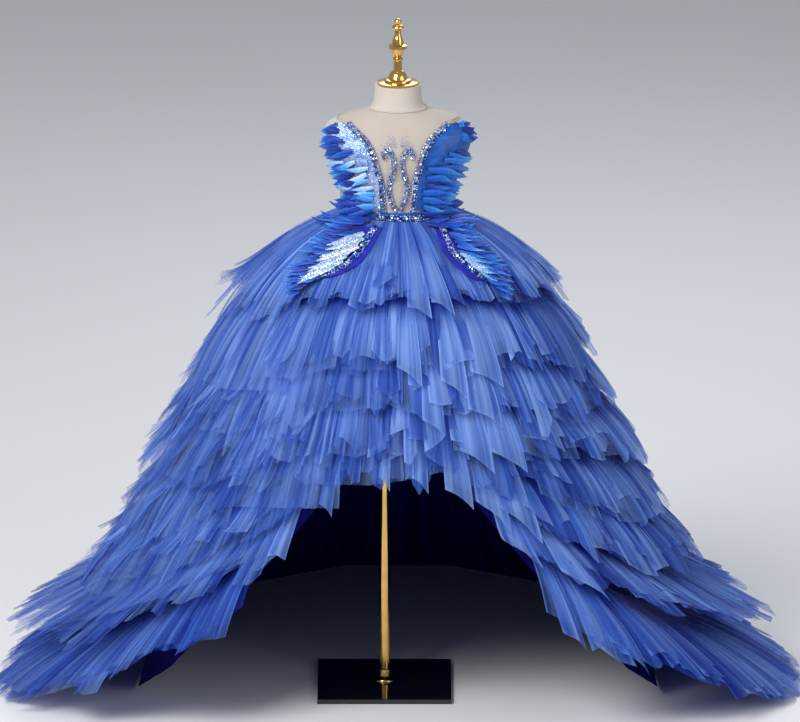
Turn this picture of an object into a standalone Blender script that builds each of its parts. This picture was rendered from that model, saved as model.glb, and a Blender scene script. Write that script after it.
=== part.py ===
"""A child's high-low ballroom gown with a train, on a limbless dress form with a pole and a base plate.

Metres, +Z up. The origin is the centre of the base plate's underside. The gown's front faces -Y.
A turn is an angle about the form's upright axis: 0 at the front, positive towards +X, and
180 degrees at the back.
"""

import math

import bmesh
import bpy
from mathutils import Vector

COLLECTION = "ballroom_gown"

# Driving sizes
FORM_X = 0.026  # the form's axis stands this far to +X of the pole
TORSO_COLUMNS = 32
PLATE_WIDTH = 0.260
PLATE_DEPTH = 0.280
PLATE_THICK = 0.010
PLATE_BEVEL = 0.0015
POLE_RADIUS = 0.0105
POLE_SIDES = 20
FINIAL_SIDES = 16
GAP = 0.0003  # between pieces that meet
CLOTH = 0.0015  # wall of the tulle layers, each a stack of gathered net
NET = 0.0012  # wall of the bodice net
BODICE_EASE = 0.0006  # from the form to the bodice net
ARMHOLE_EASE = 0.0026  # more of it beside the armholes
ARMHOLE_EASE_Z = 1.030  # where that begins
ARMHOLE_EASE_RISE = 0.016  # the height over which it grows
NECK_EASE_RISE = 0.008  # the height over which it ends at the neck edge
SKIRT_EASE = 0.0026  # from the form to the skirt base at the waist
TIER_LIFT = 0.004  # how far a tier springs off the base below its seam
SEAM_TILT = 0.35  # the rise, for one step out, of the way in which a seam stands off the base
CREST = 0.65  # a fold's usual depth, as a share of the deepest one
CREST_SPREAD = 0.35  # and how unlike the folds are
WAIST_Z = 0.950
BAND_TOP_Z = 0.966
NECK_TOP_Z = 1.200
SKIRT_COLUMNS = 50
BASE_COLUMNS = 25  # half as many, so that every second tier column stands on one of the base's
TIER_STEPS = 4
FRONT_END = 15  # degrees to each side over which the skirt keeps its front sizes
SIDE_END = 112  # and up to which it keeps its side sizes
HEM_DRIFT = 0.008  # slow change of the hems' length round the skirt
FOLD_LEAN = 0.014  # how far a fold leans to one side, in radians

# The pole's flange from the top down: height over the plate, radius
FLANGE = (
    (0.022, 0.0130),
    (0.008, 0.0140),
    (0.005, 0.0210),
    (0.001, 0.0240),
    (0.000, 0.0240),
)

# The form's sections: height, half width, depth to the front, depth to the back, squareness
TORSO = (
    (0.690, 0.100, 0.076, 0.080, 2.0),
    (0.705, 0.113, 0.086, 0.090, 2.0),
    (0.750, 0.126, 0.095, 0.101, 2.1),
    (0.810, 0.127, 0.095, 0.101, 2.1),
    (0.880, 0.118, 0.088, 0.089, 2.1),
    (0.950, 0.1115, 0.083, 0.079, 2.1),
    (0.966, 0.1112, 0.083, 0.078, 2.1),
    (1.010, 0.1125, 0.085, 0.080, 2.1),
    (1.045, 0.1175, 0.087, 0.084, 2.2),
    (1.075, 0.129, 0.085, 0.086, 2.2),
    (1.095, 0.139, 0.079, 0.083, 2.2),
    (1.110, 0.1415, 0.071, 0.077, 2.2),
    (1.122, 0.136, 0.063, 0.069, 2.2),
    (1.132, 0.121, 0.056, 0.062, 2.2),
    (1.140, 0.096, 0.051, 0.056, 2.2),
    (1.146, 0.072, 0.048, 0.052, 2.1),
    (1.154, 0.055, 0.045, 0.048, 2.0),
    (1.168, 0.047, 0.043, 0.044, 2.0),
    (1.200, 0.0445, 0.042, 0.042, 2.0),
)

# The armhole: height, and how far from the axis the bodice net reaches there
ARMHOLE = (
    (1.040, 0.200),
    (1.050, 0.112),
    (1.075, 0.103),
    (1.095, 0.099),
    (1.110, 0.098),
    (1.122, 0.100),
    (1.132, 0.104),
    (1.140, 0.200),
)
NECK_EDGE_Z = 1.154
ZIP_TOP_Z = 1.140
ZIP_HALF_WIDTH = 0.004
ZIP_TAPE = 0.0010
SLIDER_TURN = 0.045  # half the slider's width, in radians
SLIDER_DROPS = (0.002, 0.010)  # its top and bottom below the zip's top
SLIDER_THICK = 0.0025
BODICE_COLUMNS = 16

# The finial's outline from the top down: height, radius
FINIAL = (
    (1.3290, 0.0020),
    (1.3270, 0.0058),
    (1.3235, 0.0073),
    (1.3200, 0.0062),
    (1.3170, 0.0050),
    (1.3145, 0.0104),
    (1.3115, 0.0116),
    (1.3085, 0.0100),
    (1.3060, 0.0058),
    (1.2960, 0.0066),
    (1.2880, 0.0098),
    (1.2785, 0.0110),
    (1.2765, 0.0174),
    (1.2705, 0.0174),
    (1.2690, 0.0125),
    (1.2610, 0.0108),
    (1.2530, 0.0068),
    (1.2505, 0.0096),
    (1.2475, 0.0096),
    (1.2450, 0.0078),
    (1.2270, 0.0083),
    (1.2240, 0.0130),
    (1.2170, 0.0170),
    (1.2110, 0.0190),
    (1.2100, 0.0260),
    (1.2060, 0.0265),
    (1.2045, 0.0395),
)

# The skirt base, a row at each tier's seam: radius and height at the front, the sides and the back
BASE = (
    ("waist", 0.088, 0.9478, 0.113, 0.9478, 0.084, 0.9478),
    ("hip", 0.163, 0.888, 0.188, 0.873, 0.190, 0.875),
    ("seam_2", 0.200, 0.852, 0.236, 0.825, 0.242, 0.830),
    ("seam_3", 0.222, 0.772, 0.277, 0.722, 0.295, 0.735),
    ("seam_4", 0.235, 0.702, 0.309, 0.622, 0.356, 0.640),
    ("seam_5", 0.240, 0.632, 0.345, 0.522, 0.426, 0.545),
    ("seam_6", 0.241, 0.580, 0.379, 0.420, 0.506, 0.440),
    ("seam_7", 0.238, 0.550, 0.415, 0.300, 0.598, 0.320),
    ("seam_8", 0.235, 0.528, 0.455, 0.180, 0.708, 0.190),
    ("hem", 0.230, 0.505, 0.510, 0.000, 0.855, 0.000),
)

# The tiers: seam row, hem radius and height at the front, sides and back, how far the layer bends
# out and down on its way as shares of that, fold depth, longest point of the jagged hem, degrees
# left open to each side of the front, and a seed for the folds
TIERS = (
    ("tier_1", 0, 0.247, 0.836, 0.300, 0.803, 0.306, 0.806, 0.62, 0.36, 0.010, 0.016, 0, 11),
    ("tier_2", 2, 0.284, 0.722, 0.360, 0.664, 0.420, 0.680, 0.66, 0.34, 0.013, 0.024, 0, 12),
    ("tier_3", 3, 0.300, 0.650, 0.404, 0.570, 0.478, 0.594, 0.66, 0.34, 0.015, 0.026, 0, 13),
    ("tier_4", 4, 0.308, 0.572, 0.448, 0.484, 0.555, 0.494, 0.66, 0.34, 0.016, 0.028, 0, 14),
    ("tier_5", 5, 0.306, 0.500, 0.494, 0.366, 0.654, 0.390, 0.66, 0.34, 0.018, 0.030, 0, 15),
    ("tier_6", 6, 0.296, 0.478, 0.562, 0.256, 0.775, 0.272, 0.66, 0.34, 0.016, 0.028, 27, 16),
    ("tier_7", 7, 0.296, 0.420, 0.674, 0.148, 0.890, 0.142, 0.50, 0.46, 0.012, 0.028, 31, 17),
    ("tier_8", 8, 0.316, 0.330, 0.765, 0.000, 1.000, 0.000, 0.70, 0.46, 0.012, 0.022, 40, 18),
)

# The bodice's feather panels, a row for each feather: its root on the bead edge, as the distance
# from the centre and the height, then its tip, as turn, height and how far it stands off
BODICE_FEATHERS = (
    (0.090, 1.129, 70, 1.126, 0.003),
    (0.075, 1.117, 76, 1.112, 0.005),
    (0.060, 1.105, 82, 1.094, 0.008),
    (0.049, 1.091, 86, 1.072, 0.012),
    (0.042, 1.074, 88, 1.050, 0.014),
    (0.037, 1.055, 84, 1.032, 0.012),
    (0.032, 1.037, 76, 1.016, 0.009),
    (0.028, 1.018, 70, 1.002, 0.007),
    (0.028, 1.000, 65, 0.990, 0.005),
    (0.026, 0.982, 62, 0.974, 0.004),
)
FEATHER_WALL = 0.0012
PANEL_EASE = 0.0010  # from the net to the feather panels
FEATHER_RISE = 0.0030  # a feather's middle over its edges
FEATHER_STEPS = 5
NOTCH = 0.74  # how far along the notches between the feathers reach
ROPE_RADIUS = 0.0032  # the bead ropes

WAIST_BEADS = 14
WAIST_BEADS_TURNS = (-19, 40)  # the turns, in degrees, between which the waist's rope runs
WAIST_BEADS_Z = 0.959
WAIST_BEADS_SAG = 0.004

# The bead scroll in the open centre, one of a pair: distance from the centre, and height
SCROLL = (
    (0.0050, 0.972),
    (0.0105, 0.984),
    (0.0150, 0.997),
    (0.0175, 1.011),
    (0.0165, 1.025),
    (0.0125, 1.038),
    (0.0085, 1.051),
    (0.0075, 1.065),
    (0.0100, 1.078),
    (0.0160, 1.088),
    (0.0235, 1.089),
    (0.0275, 1.082),
    (0.0250, 1.074),
)
SCROLL_RADIUS = 0.0028

# The hip wings over tier 1, a row for each feather: turn of its root on the left and on the right,
# its root's share of the tier's length, then its tip's turn, share and how far it stands off
WING_FEATHERS = (
    (22, 42, 0.08, 66, 0.10, 0.010),
    (23, 38, 0.18, 60, 0.21, 0.012),
    (23, 36, 0.28, 57, 0.33, 0.012),
    (24, 34, 0.38, 56, 0.45, 0.012),
    (26, 35, 0.48, 55, 0.57, 0.012),
    (29, 37, 0.57, 54, 0.69, 0.012),
    (34, 40, 0.65, 52, 0.82, 0.012),
    (40, 43, 0.71, 47, 0.93, 0.010),
)
WING_EASE = 0.0015  # more room over the tier towards its hem
WING_TILT_TOP = 1.1  # the skirt's slope under the wings, at the waist and at the hem, in radians
WING_TILT_HEM = 0.6
WING_ROOT = 3.0  # degrees from the bead edge to the feathers' roots
UNDERLAY_WALL = 0.0010
UNDERLAY_MARGIN = 6.0  # degrees that the dark layer shows past the wing's bead edge
UNDERLAY_COVER = 16.0  # degrees that it runs on under the wing


def clear_scene():
    """Removes what the file opened with."""
    for obj in list(bpy.data.objects):
        bpy.data.objects.remove(obj, do_unlink=True)


def make_collection():
    """The collection that holds the parts."""
    parts = bpy.data.collections.new(COLLECTION)
    bpy.context.scene.collection.children.link(parts)
    return parts


def make_material(name, colour, roughness, metallic=0.0):
    """A Principled BSDF with one colour."""
    mat = bpy.data.materials.new(name)
    mat.use_nodes = True
    shader = mat.node_tree.nodes["Principled BSDF"]
    shader.inputs["Base Color"].default_value = (*colour, 1.0)
    shader.inputs["Roughness"].default_value = roughness
    shader.inputs["Metallic"].default_value = metallic
    return mat


def make_materials():
    """Every material of the gown and its form."""
    return {
        "tulle": make_material("tulle", (0.13, 0.22, 0.72), 0.80),
        "dark_net": make_material("dark_net", (0.01, 0.01, 0.08), 0.85),
        "nude_net": make_material("nude_net", (0.72, 0.64, 0.56), 0.75),
        "feather": make_material("feather", (0.03, 0.16, 0.62), 0.55),
        "cobalt": make_material("cobalt", (0.01, 0.02, 0.30), 0.60),
        "beads": make_material("beads", (0.35, 0.42, 0.70), 0.15, 0.6),
        "form": make_material("form", (0.75, 0.67, 0.58), 0.70),
        "gold": make_material("gold", (0.83, 0.60, 0.22), 0.12, 1.0),
        "plate": make_material("plate", (0.01, 0.01, 0.01), 0.05),
    }


def mix(a, b, share):
    """From a to b."""
    return a + (b - a) * share


def smooth(share):
    """An eased share, flat at 0 and 1."""
    share = min(max(share, 0.0), 1.0)
    return share * share * (3.0 - 2.0 * share)


def from_table(rows, key):
    """The rest of a table's row at this key, read between rows that rise by their first column."""
    if key <= rows[0][0]:
        return rows[0][1:]
    for low, high in zip(rows, rows[1:]):
        if key <= high[0]:
            share = (key - low[0]) / (high[0] - low[0])
            return tuple(mix(a, b, share) for a, b in zip(low[1:], high[1:]))
    return rows[-1][1:]


def scatter(seed, index):
    """A steady number between -1 and 1 for a place in a row."""
    value = math.sin(seed * 127.1 + index * 311.7) * 43758.5453
    return 2.0 * (value - math.floor(value)) - 1.0


def torso_ring(height, turn):
    """A point on the form's surface, from the form's axis."""
    half_width, front, back, square = from_table(TORSO, height)
    across = math.sin(turn)
    along = math.cos(turn)
    x = math.copysign(half_width * abs(across) ** (2.0 / square), across)
    depth = front if along > 0 else back
    y = -math.copysign(depth * abs(along) ** (2.0 / square), along)
    return Vector((x, y, height))


def torso_point(height, turn, out=0.0):
    """A point over the form's surface, moved out along the surface's normal."""
    step = 0.03
    rise = 0.004
    point = torso_ring(height, turn)
    around = torso_ring(height, turn + step) - torso_ring(height, turn - step)
    up = torso_ring(height + rise, turn) - torso_ring(height - rise, turn)
    point += around.cross(up).normalized() * out
    return Vector((point.x + FORM_X, point.y, point.z))


def turn_at(height, x):
    """The turn at which the front of the form lies this far from its axis."""
    half_width, _, _, square = from_table(TORSO, height)
    share = min(abs(x) / half_width, 1.0)
    return math.asin(share ** (square / 2.0))


def link(obj, mat, parts):
    """Puts a finished object in the collection with its material."""
    obj.data.materials.clear()
    obj.data.materials.append(mat)
    for holder in list(obj.users_collection):
        holder.objects.unlink(obj)
    parts.objects.link(obj)
    return obj


def grid_faces(rows, columns, closed):
    """Faces of a grid whose rows run down and whose columns run round, facing out."""
    faces = []
    spans = columns if closed else columns - 1
    for row in range(rows - 1):
        for column in range(spans):
            after = (column + 1) % columns
            here = row * columns
            below = here + columns
            faces.append((here + column, below + column, below + after, here + after))
    return faces


def cloth(name, rows, closed, wall, mat, parts):
    """A sheet through rows of points, thickened outwards to a wall."""
    mesh = bpy.data.meshes.new(name)
    points = [point for row in rows for point in row]
    mesh.from_pydata(points, [], grid_faces(len(rows), len(rows[0]), closed))
    mesh.update()
    obj = bpy.data.objects.new(name, mesh)
    thicken = obj.modifiers.new("wall", "SOLIDIFY")
    thicken.thickness = wall
    thicken.offset = 1.0
    return link(obj, mat, parts)


def relief(name, inner, outer, mat, parts):
    """A loft between a plain inside and a raised outside, with the same grid of points each."""
    rows = len(inner)
    columns = len(inner[0])
    count = rows * columns
    points = [point for row in outer for point in row]
    points += [point for row in inner for point in row]
    faces = grid_faces(rows, columns, False)
    faces += [tuple(count + index for index in reversed(face)) for face in faces]
    rim = [(0, column) for column in range(columns)]
    rim += [(row, columns - 1) for row in range(1, rows)]
    rim += [(rows - 1, column) for column in range(columns - 2, -1, -1)]
    rim += [(row, 0) for row in range(rows - 2, 0, -1)]
    for here, after in zip(rim, rim[1:] + rim[:1]):
        a = here[0] * columns + here[1]
        b = after[0] * columns + after[1]
        faces.append((a, b, count + b, count + a))
    mesh = bpy.data.meshes.new(name)
    mesh.from_pydata(points, [], faces)
    mesh.update()
    return link(bpy.data.objects.new(name, mesh), mat, parts)


def turned(name, outline, sides, centre, mat, parts):
    """A solid of revolution about an upright axis, from an outline that runs from the top down."""
    mesh = bpy.data.meshes.new(name)
    points = [(0.0, 0.0, outline[0][0])]
    points += [(radius, 0.0, height) for height, radius in outline]
    points.append((0.0, 0.0, outline[-1][0]))
    mesh.from_pydata(points, [(i, i + 1) for i in range(len(points) - 1)], [])
    obj = bpy.data.objects.new(name, mesh)
    obj.location = centre
    lathe = obj.modifiers.new("lathe", "SCREW")
    lathe.steps = sides
    lathe.render_steps = sides
    lathe.use_merge_vertices = True
    lathe.merge_threshold = 0.00005
    return link(obj, mat, parts)


def bead_rope(name, path, radius, mat, parts):
    """A rope of beads through a path, thick at each bead and thin between two."""
    curve = bpy.data.curves.new(name, "CURVE")
    curve.dimensions = "3D"
    curve.bevel_depth = radius
    curve.bevel_resolution = 1
    curve.use_fill_caps = True
    spline = curve.splines.new("POLY")
    spline.points.add(len(path) - 1)
    for index, point in enumerate(path):
        spline.points[index].co = (*point, 1.0)
        spline.points[index].radius = 0.62 if index % 2 else 1.0
    return link(bpy.data.objects.new(name, curve), mat, parts)


def make_stand(mats, parts):
    """The base plate, its flange and the pole under the form."""
    bpy.ops.mesh.primitive_cube_add(size=1.0)
    plate = bpy.context.object
    plate.name = "base_plate"
    for vertex in plate.data.vertices:
        vertex.co.x *= PLATE_WIDTH
        vertex.co.y *= PLATE_DEPTH
        vertex.co.z = (vertex.co.z + 0.5) * PLATE_THICK
    bevel = plate.modifiers.new("edge", "BEVEL")
    bevel.width = PLATE_BEVEL
    bevel.segments = 2
    link(plate, mats["plate"], parts)
    foot = PLATE_THICK + GAP
    outline = [(foot + height, radius) for height, radius in FLANGE]
    turned("base_flange", outline, POLE_SIDES, (0, 0, 0), mats["gold"], parts)
    bottom = outline[0][0] + GAP
    height = TORSO[0][0] - GAP - bottom
    bpy.ops.mesh.primitive_cylinder_add(
        vertices=POLE_SIDES,
        radius=POLE_RADIUS,
        depth=height,
        location=(0, 0, bottom + height / 2),
    )
    pole = bpy.context.object
    pole.name = "pole"
    link(pole, mats["gold"], parts)


def make_torso(mats, parts):
    """The form: a smooth closed loft through its sections."""
    shape = bmesh.new()
    rings = []
    for section in TORSO:
        ring = []
        for column in range(TORSO_COLUMNS):
            turn = math.tau * column / TORSO_COLUMNS
            ring.append(shape.verts.new(torso_point(section[0], turn)))
        rings.append(ring)
    for low, high in zip(rings, rings[1:]):
        for column in range(TORSO_COLUMNS):
            after = (column + 1) % TORSO_COLUMNS
            shape.faces.new((low[column], low[after], high[after], high[column]))
    shape.faces.new(list(reversed(rings[0])))
    shape.faces.new(rings[-1])
    mesh = bpy.data.meshes.new("form_torso")
    shape.to_mesh(mesh)
    shape.free()
    mesh.shade_smooth()
    mesh.set_sharp_from_angle(angle=math.radians(50))
    link(bpy.data.objects.new("form_torso", mesh), mats["form"], parts)
    outline = FINIAL + ((NECK_TOP_Z + GAP, FINIAL[-1][1]),)
    turned("finial", outline, FINIAL_SIDES, (FORM_X, 0, 0), mats["gold"], parts)


def bodice_heights():
    """The rows of the bodice, from the neck edge down to the waist, at the form's own sections."""
    heights = [section[0] for section in TORSO if WAIST_Z < section[0] < NECK_EDGE_Z]
    heights += [WAIST_Z, NECK_EDGE_Z, ARMHOLE[0][0], ARMHOLE[1][0]]
    return sorted(set(heights), reverse=True)


def side_turn(height):
    """The turn at which the bodice net ends at the side, at the armhole or at the seam."""
    (reach,) = from_table(ARMHOLE, height)
    half_width = from_table(TORSO, height)[0]
    if reach >= half_width:
        return math.pi / 2
    return turn_at(height, reach)


def net_ease(height):
    """How far the bodice net lies off the form at this height."""
    share = (height - ARMHOLE_EASE_Z) / ARMHOLE_EASE_RISE
    top = (NECK_EDGE_Z - height) / NECK_EASE_RISE
    return BODICE_EASE + ARMHOLE_EASE * min(smooth(share), smooth(top))


def bodice_rows(first, last, side):
    """Rows of a bodice piece between two turns that are given for each height."""
    rows = []
    for height in bodice_heights():
        start = first(height)
        end = last(height)
        row = []
        for column in range(side + 1):
            turn = mix(start, end, column / side)
            row.append(torso_point(height, turn, net_ease(height)))
        rows.append(row)
    return rows


def part_seam(rows, column, axis, value):
    """Sets one coordinate of a column of points, so that a seam stays open by the gap."""
    for row in rows:
        row[column][axis] = value


def make_bodice(mats, parts):
    """The nude net bodice: a front, two backs, the zip between them and the waistband."""
    front = bodice_rows(lambda z: -side_turn(z), side_turn, BODICE_COLUMNS)
    half = BODICE_COLUMNS // 2
    right = bodice_rows(lambda z: math.pi - side_turn(z), lambda z: math.pi, half)
    left = bodice_rows(lambda z: -math.pi, lambda z: side_turn(z) - math.pi, half)
    for rows in (front, right, left):
        for row in rows:
            for point in row[:: len(row) - 1]:
                if abs(point.y) < 2 * GAP:
                    point.y = -GAP / 2 if rows is front else GAP / 2
    part_seam(right, -1, 0, FORM_X + GAP / 2)
    part_seam(left, 0, 0, FORM_X - GAP / 2)
    cloth("bodice_front", front, False, NET, mats["nude_net"], parts)
    cloth("bodice_back_right", right, False, NET, mats["nude_net"], parts)
    cloth("bodice_back_left", left, False, NET, mats["nude_net"], parts)
    make_zip(mats, parts)
    make_waistband(mats, parts)


def make_zip(mats, parts):
    """The hidden zip down the centre back, and its slider at the top."""
    heights = [z for z in bodice_heights() if BAND_TOP_Z < z <= ZIP_TOP_Z]
    heights.append(BAND_TOP_Z + 0.002)
    rows = []
    for height in heights:
        row = []
        for share in (1.0, 0.0, -1.0):
            point = torso_point(height, math.pi, net_ease(height) + NET + GAP)
            row.append(Vector((FORM_X + share * ZIP_HALF_WIDTH, point.y, point.z)))
        rows.append(row)
    cloth("back_zip", rows, False, ZIP_TAPE, mats["nude_net"], parts)
    inner = []
    outer = []
    for drop in SLIDER_DROPS:
        height = ZIP_TOP_Z - drop
        tape = net_ease(height) + NET + ZIP_TAPE + 3 * GAP
        lines = [math.pi - SLIDER_TURN, math.pi, math.pi + SLIDER_TURN]
        inner.append([torso_point(height, turn, tape) for turn in lines])
        outer.append([torso_point(height, turn, tape + SLIDER_THICK) for turn in lines])
    relief("zip_slider", inner, outer, mats["gold"], parts)


def make_waistband(mats, parts):
    """The blue band over the seam between bodice and skirt."""
    out = BODICE_EASE + NET + GAP
    rows = []
    for height in (BAND_TOP_Z, WAIST_Z - GAP):
        ring = []
        for column in range(TORSO_COLUMNS):
            turn = math.tau * column / TORSO_COLUMNS
            ring.append(torso_point(height, turn, out))
        rows.append(ring)
    cloth("waistband", rows, True, NET, mats["cobalt"], parts)


def spread(turn, front, side, back):
    """A skirt size at a turn, from its sizes at the front, the sides and the back."""
    degrees = abs(math.degrees(turn))
    if degrees > 180:
        degrees = 360 - degrees
    if degrees <= 90:
        return mix(front, side, smooth((degrees - FRONT_END) / (90 - FRONT_END)))
    return mix(side, back, smooth((degrees - SIDE_END) / (180 - SIDE_END)))


def skirt_place(turn, radius, height):
    """A point at a radius and height about the form's axis."""
    x = FORM_X + radius * math.sin(turn)
    return Vector((x, -radius * math.cos(turn), height))


def base_point(row, turn):
    """A point on the skirt base at one of its rows."""
    if row == 0:
        return torso_point(BASE[0][2], turn, SKIRT_EASE)
    _, front_r, front_z, side_r, side_z, back_r, back_z = BASE[row]
    radius = spread(turn, front_r, side_r, back_r)
    return skirt_place(turn, radius, spread(turn, front_z, side_z, back_z))


def base_facet(row, column, out):
    """A point of a tier's seam on the base's flat facets, moved out, at a tier column."""
    first = column // 2
    here = base_point(row, math.tau * first / BASE_COLUMNS)
    if column % 2:
        here = (here + base_point(row, math.tau * (first + 1) / BASE_COLUMNS)) / 2
    away = Vector((here.x - FORM_X, here.y, 0)).normalized()
    tilt = Vector((0, 0, SEAM_TILT))
    return here + (away + tilt).normalized() * out


def make_skirt_base(mats, parts):
    """The foundation that the tiers are sewn to."""
    rows = []
    for row in range(len(BASE)):
        ring = []
        for column in range(BASE_COLUMNS):
            ring.append(base_point(row, math.tau * column / BASE_COLUMNS))
        rows.append(ring)
    cloth("skirt_base", rows, True, CLOTH, mats["dark_net"], parts)


def tier_point(tier, column, share, crest=None):
    """A point of a tier at one of its columns: share 0 is the seam, and 1 the hem.

    crest is how far the folds stand out there, from -1 to 1, where it isn't the tier's own.
    """
    seam, front_r, front_z, side_r, side_z, back_r, back_z, bend_out, bend_down = tier[1:10]
    fold, point, _, seed = tier[10:]
    turn = math.tau * column / SKIRT_COLUMNS
    top = base_facet(seam, column, CLOTH + 2 * GAP)
    if share == 0:
        return top
    start_r = math.hypot(top.x - FORM_X, top.y)
    hem_r = spread(turn, front_r, side_r, back_r)
    hem_z = spread(turn, front_z, side_z, back_z)
    lean = 0.0
    if crest is None:
        crest = (1 if column % 2 else -1) * (CREST + CREST_SPREAD * scatter(seed, column))
        lean = FOLD_LEAN * scatter(seed + 5, column)
    drift = 0.5 * math.sin(3 * turn + seed) + 0.5 * math.sin(7 * turn + 2 * seed)
    length = math.hypot(hem_r - start_r, top.z - hem_z)
    reach = share * (1.0 + (point * crest + HEM_DRIFT * drift) / length)
    bend_r = mix(start_r, hem_r, bend_out)
    bend_z = mix(top.z, hem_z, bend_down)
    ease = 1.0 - reach
    radius = ease * ease * start_r + 2 * ease * reach * bend_r + reach * reach * hem_r
    height = ease * ease * top.z + 2 * ease * reach * bend_z + reach * reach * hem_z
    radius += fold * crest * share**1.3 + TIER_LIFT * min(4 * share, 1.0)
    return skirt_place(turn + lean * share, radius, max(height, 0.0))


def tier_columns(tier):
    """The columns that a tier covers, and whether it closes into a ring."""
    opening = tier[12]
    if opening == 0:
        return list(range(SKIRT_COLUMNS)), True
    first = math.ceil(opening * SKIRT_COLUMNS / 360)
    return list(range(first, SKIRT_COLUMNS - first + 1)), False


def make_tiers(mats, parts):
    """The gathered tiers, each sewn to the base at its seam and free at its jagged hem."""
    for tier in TIERS:
        columns, closed = tier_columns(tier)
        rows = []
        for step in range(TIER_STEPS + 1):
            share = step / TIER_STEPS
            rows.append([tier_point(tier, column, share) for column in columns])
        cloth(tier[0], rows, closed, CLOTH, mats["tulle"], parts)


def feather_grid(roots, tips, place, rise):
    """Rows of points for feathers side by side, from a line of roots to a line of tips.

    place turns a mixed root and tip into a point, at a given lift over the plain surface.
    """
    inner = []
    outer = []
    count = len(roots)
    for step in range(FEATHER_STEPS + 1):
        along = step / FEATHER_STEPS
        low_row = []
        high_row = []
        for line in range(2 * count - 1):
            first = line // 2
            second = min(first + line % 2, count - 1)
            root = [mix(a, b, 0.5) for a, b in zip(roots[first], roots[second])]
            tip = [mix(a, b, 0.5) for a, b in zip(tips[first], tips[second])]
            reach = along * (NOTCH if line % 2 else 1.0)
            spot = [mix(a, b, reach) for a, b in zip(root, tip)]
            lift = 0.0 if line % 2 else rise * math.sin(math.pi * (0.15 + 0.7 * along))
            low_row.append(place(spot, 0.0))
            high_row.append(place(spot, FEATHER_WALL + lift))
        inner.append(low_row)
        outer.append(high_row)
    return inner, outer


def make_feather_panels(mats, parts):
    """The feather panels on the chest, with a bead rope on each inner edge."""
    rest = BODICE_EASE + ARMHOLE_EASE + NET + PANEL_EASE
    edge = 3 * ROPE_RADIUS
    for name, side in (("left", -1), ("right", 1)):
        roots = []
        for x, z, *_ in BODICE_FEATHERS:
            roots.append((math.degrees(turn_at(z, x + edge)), z, 0.0))
        tips = [(turn, z, stand) for _, _, turn, z, stand in BODICE_FEATHERS]

        def place(spot, lift):
            turn, height, stand = spot
            return torso_point(height, side * math.radians(turn), rest + stand + lift)

        inner, outer = feather_grid(roots, tips, place, FEATHER_RISE)
        if side > 0:
            inner, outer = turn_grid(inner), turn_grid(outer)
        relief(f"feather_panel_{name}", inner, outer, mats["feather"], parts)
        path = []
        for first, second in zip(BODICE_FEATHERS, BODICE_FEATHERS[1:]):
            for share in (0.0, 0.25, 0.5, 0.75):
                x = mix(first[0], second[0], share) + ROPE_RADIUS
                z = mix(first[1], second[1], share)
                turn = side * turn_at(z, x)
                path.append(torso_point(z, turn, net_ease(z) + NET + 2 * GAP + ROPE_RADIUS))
        bead_rope(f"bodice_beads_{name}", path, ROPE_RADIUS, mats["beads"], parts)


def turn_grid(rows):
    """The same grid with each row's points in the other order, to face the other way."""
    return [list(reversed(row)) for row in rows]


def wing_place(side, degrees, share, out):
    """A point over tier 1's highest folds."""
    tier = TIERS[0]
    column = side * degrees / 360 * SKIRT_COLUMNS
    first = math.floor(column)
    radii = []
    heights = []
    for near in (first, first + 1):
        spot = tier_point(tier, near % SKIRT_COLUMNS, max(share, 0.001), 1.0)
        radii.append(math.hypot(spot.x - FORM_X, spot.y))
        heights.append(spot.z)
    radius = mix(radii[0], radii[1], column - first)
    height = mix(heights[0], heights[1], column - first)
    away = CLOTH + 1.5 * GAP + WING_EASE * share + out
    tilt = mix(WING_TILT_TOP, WING_TILT_HEM, share)
    turn = side * math.radians(degrees)
    return skirt_place(turn, radius + away * math.cos(tilt), height + away * math.sin(tilt))


def make_wings(mats, parts):
    """The hip wings, the dark layer under each and the bead rope on each edge."""
    under = UNDERLAY_WALL + 2.5 * GAP
    for name, side in (("left", -1), ("right", 1)):
        which = 0 if side < 0 else 1
        edges = [(row[which], row[2]) for row in WING_FEATHERS]
        rows = []
        for degrees, share in edges:
            row = []
            for step in range(4):
                turn = degrees - UNDERLAY_MARGIN + (UNDERLAY_MARGIN + UNDERLAY_COVER) * step / 3
                row.append(wing_place(side, turn, share, 0.0))
            rows.append(row)
        if side < 0:
            rows = turn_grid(rows)
        cloth(f"wing_underlay_{name}", rows, False, UNDERLAY_WALL, mats["cobalt"], parts)

        roots = [(degrees + WING_ROOT, share, 0.0) for degrees, share in edges]
        tips = [row[3:] for row in WING_FEATHERS]

        def place(spot, lift):
            degrees, share, stand = spot
            return wing_place(side, degrees, share, under + stand + lift)

        inner, outer = feather_grid(roots, tips, place, FEATHER_RISE)
        if side > 0:
            inner, outer = turn_grid(inner), turn_grid(outer)
        relief(f"wing_{name}", inner, outer, mats["feather"], parts)
        path = []
        for first, second in zip(edges, edges[1:]):
            for step in range(4):
                degrees = mix(first[0], second[0], step / 4)
                share = mix(first[1], second[1], step / 4)
                path.append(wing_place(side, degrees, share, UNDERLAY_WALL + GAP + ROPE_RADIUS))
        bead_rope(f"wing_beads_{name}", path, ROPE_RADIUS, mats["beads"], parts)


def make_scroll(mats, parts):
    """The pair of bead scrolls that rise from the waist between the feather panels."""
    for name, side in (("left", -1), ("right", 1)):
        path = []
        for first, second in zip(SCROLL, SCROLL[1:]):
            for share in (0.0, 0.5):
                x = mix(first[0], second[0], share)
                z = mix(first[1], second[1], share)
                out = net_ease(z) + NET + 4 * GAP + SCROLL_RADIUS
                path.append(torso_point(z, side * turn_at(z, x), out))
        bead_rope(f"scroll_beads_{name}", path, SCROLL_RADIUS, mats["beads"], parts)


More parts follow.
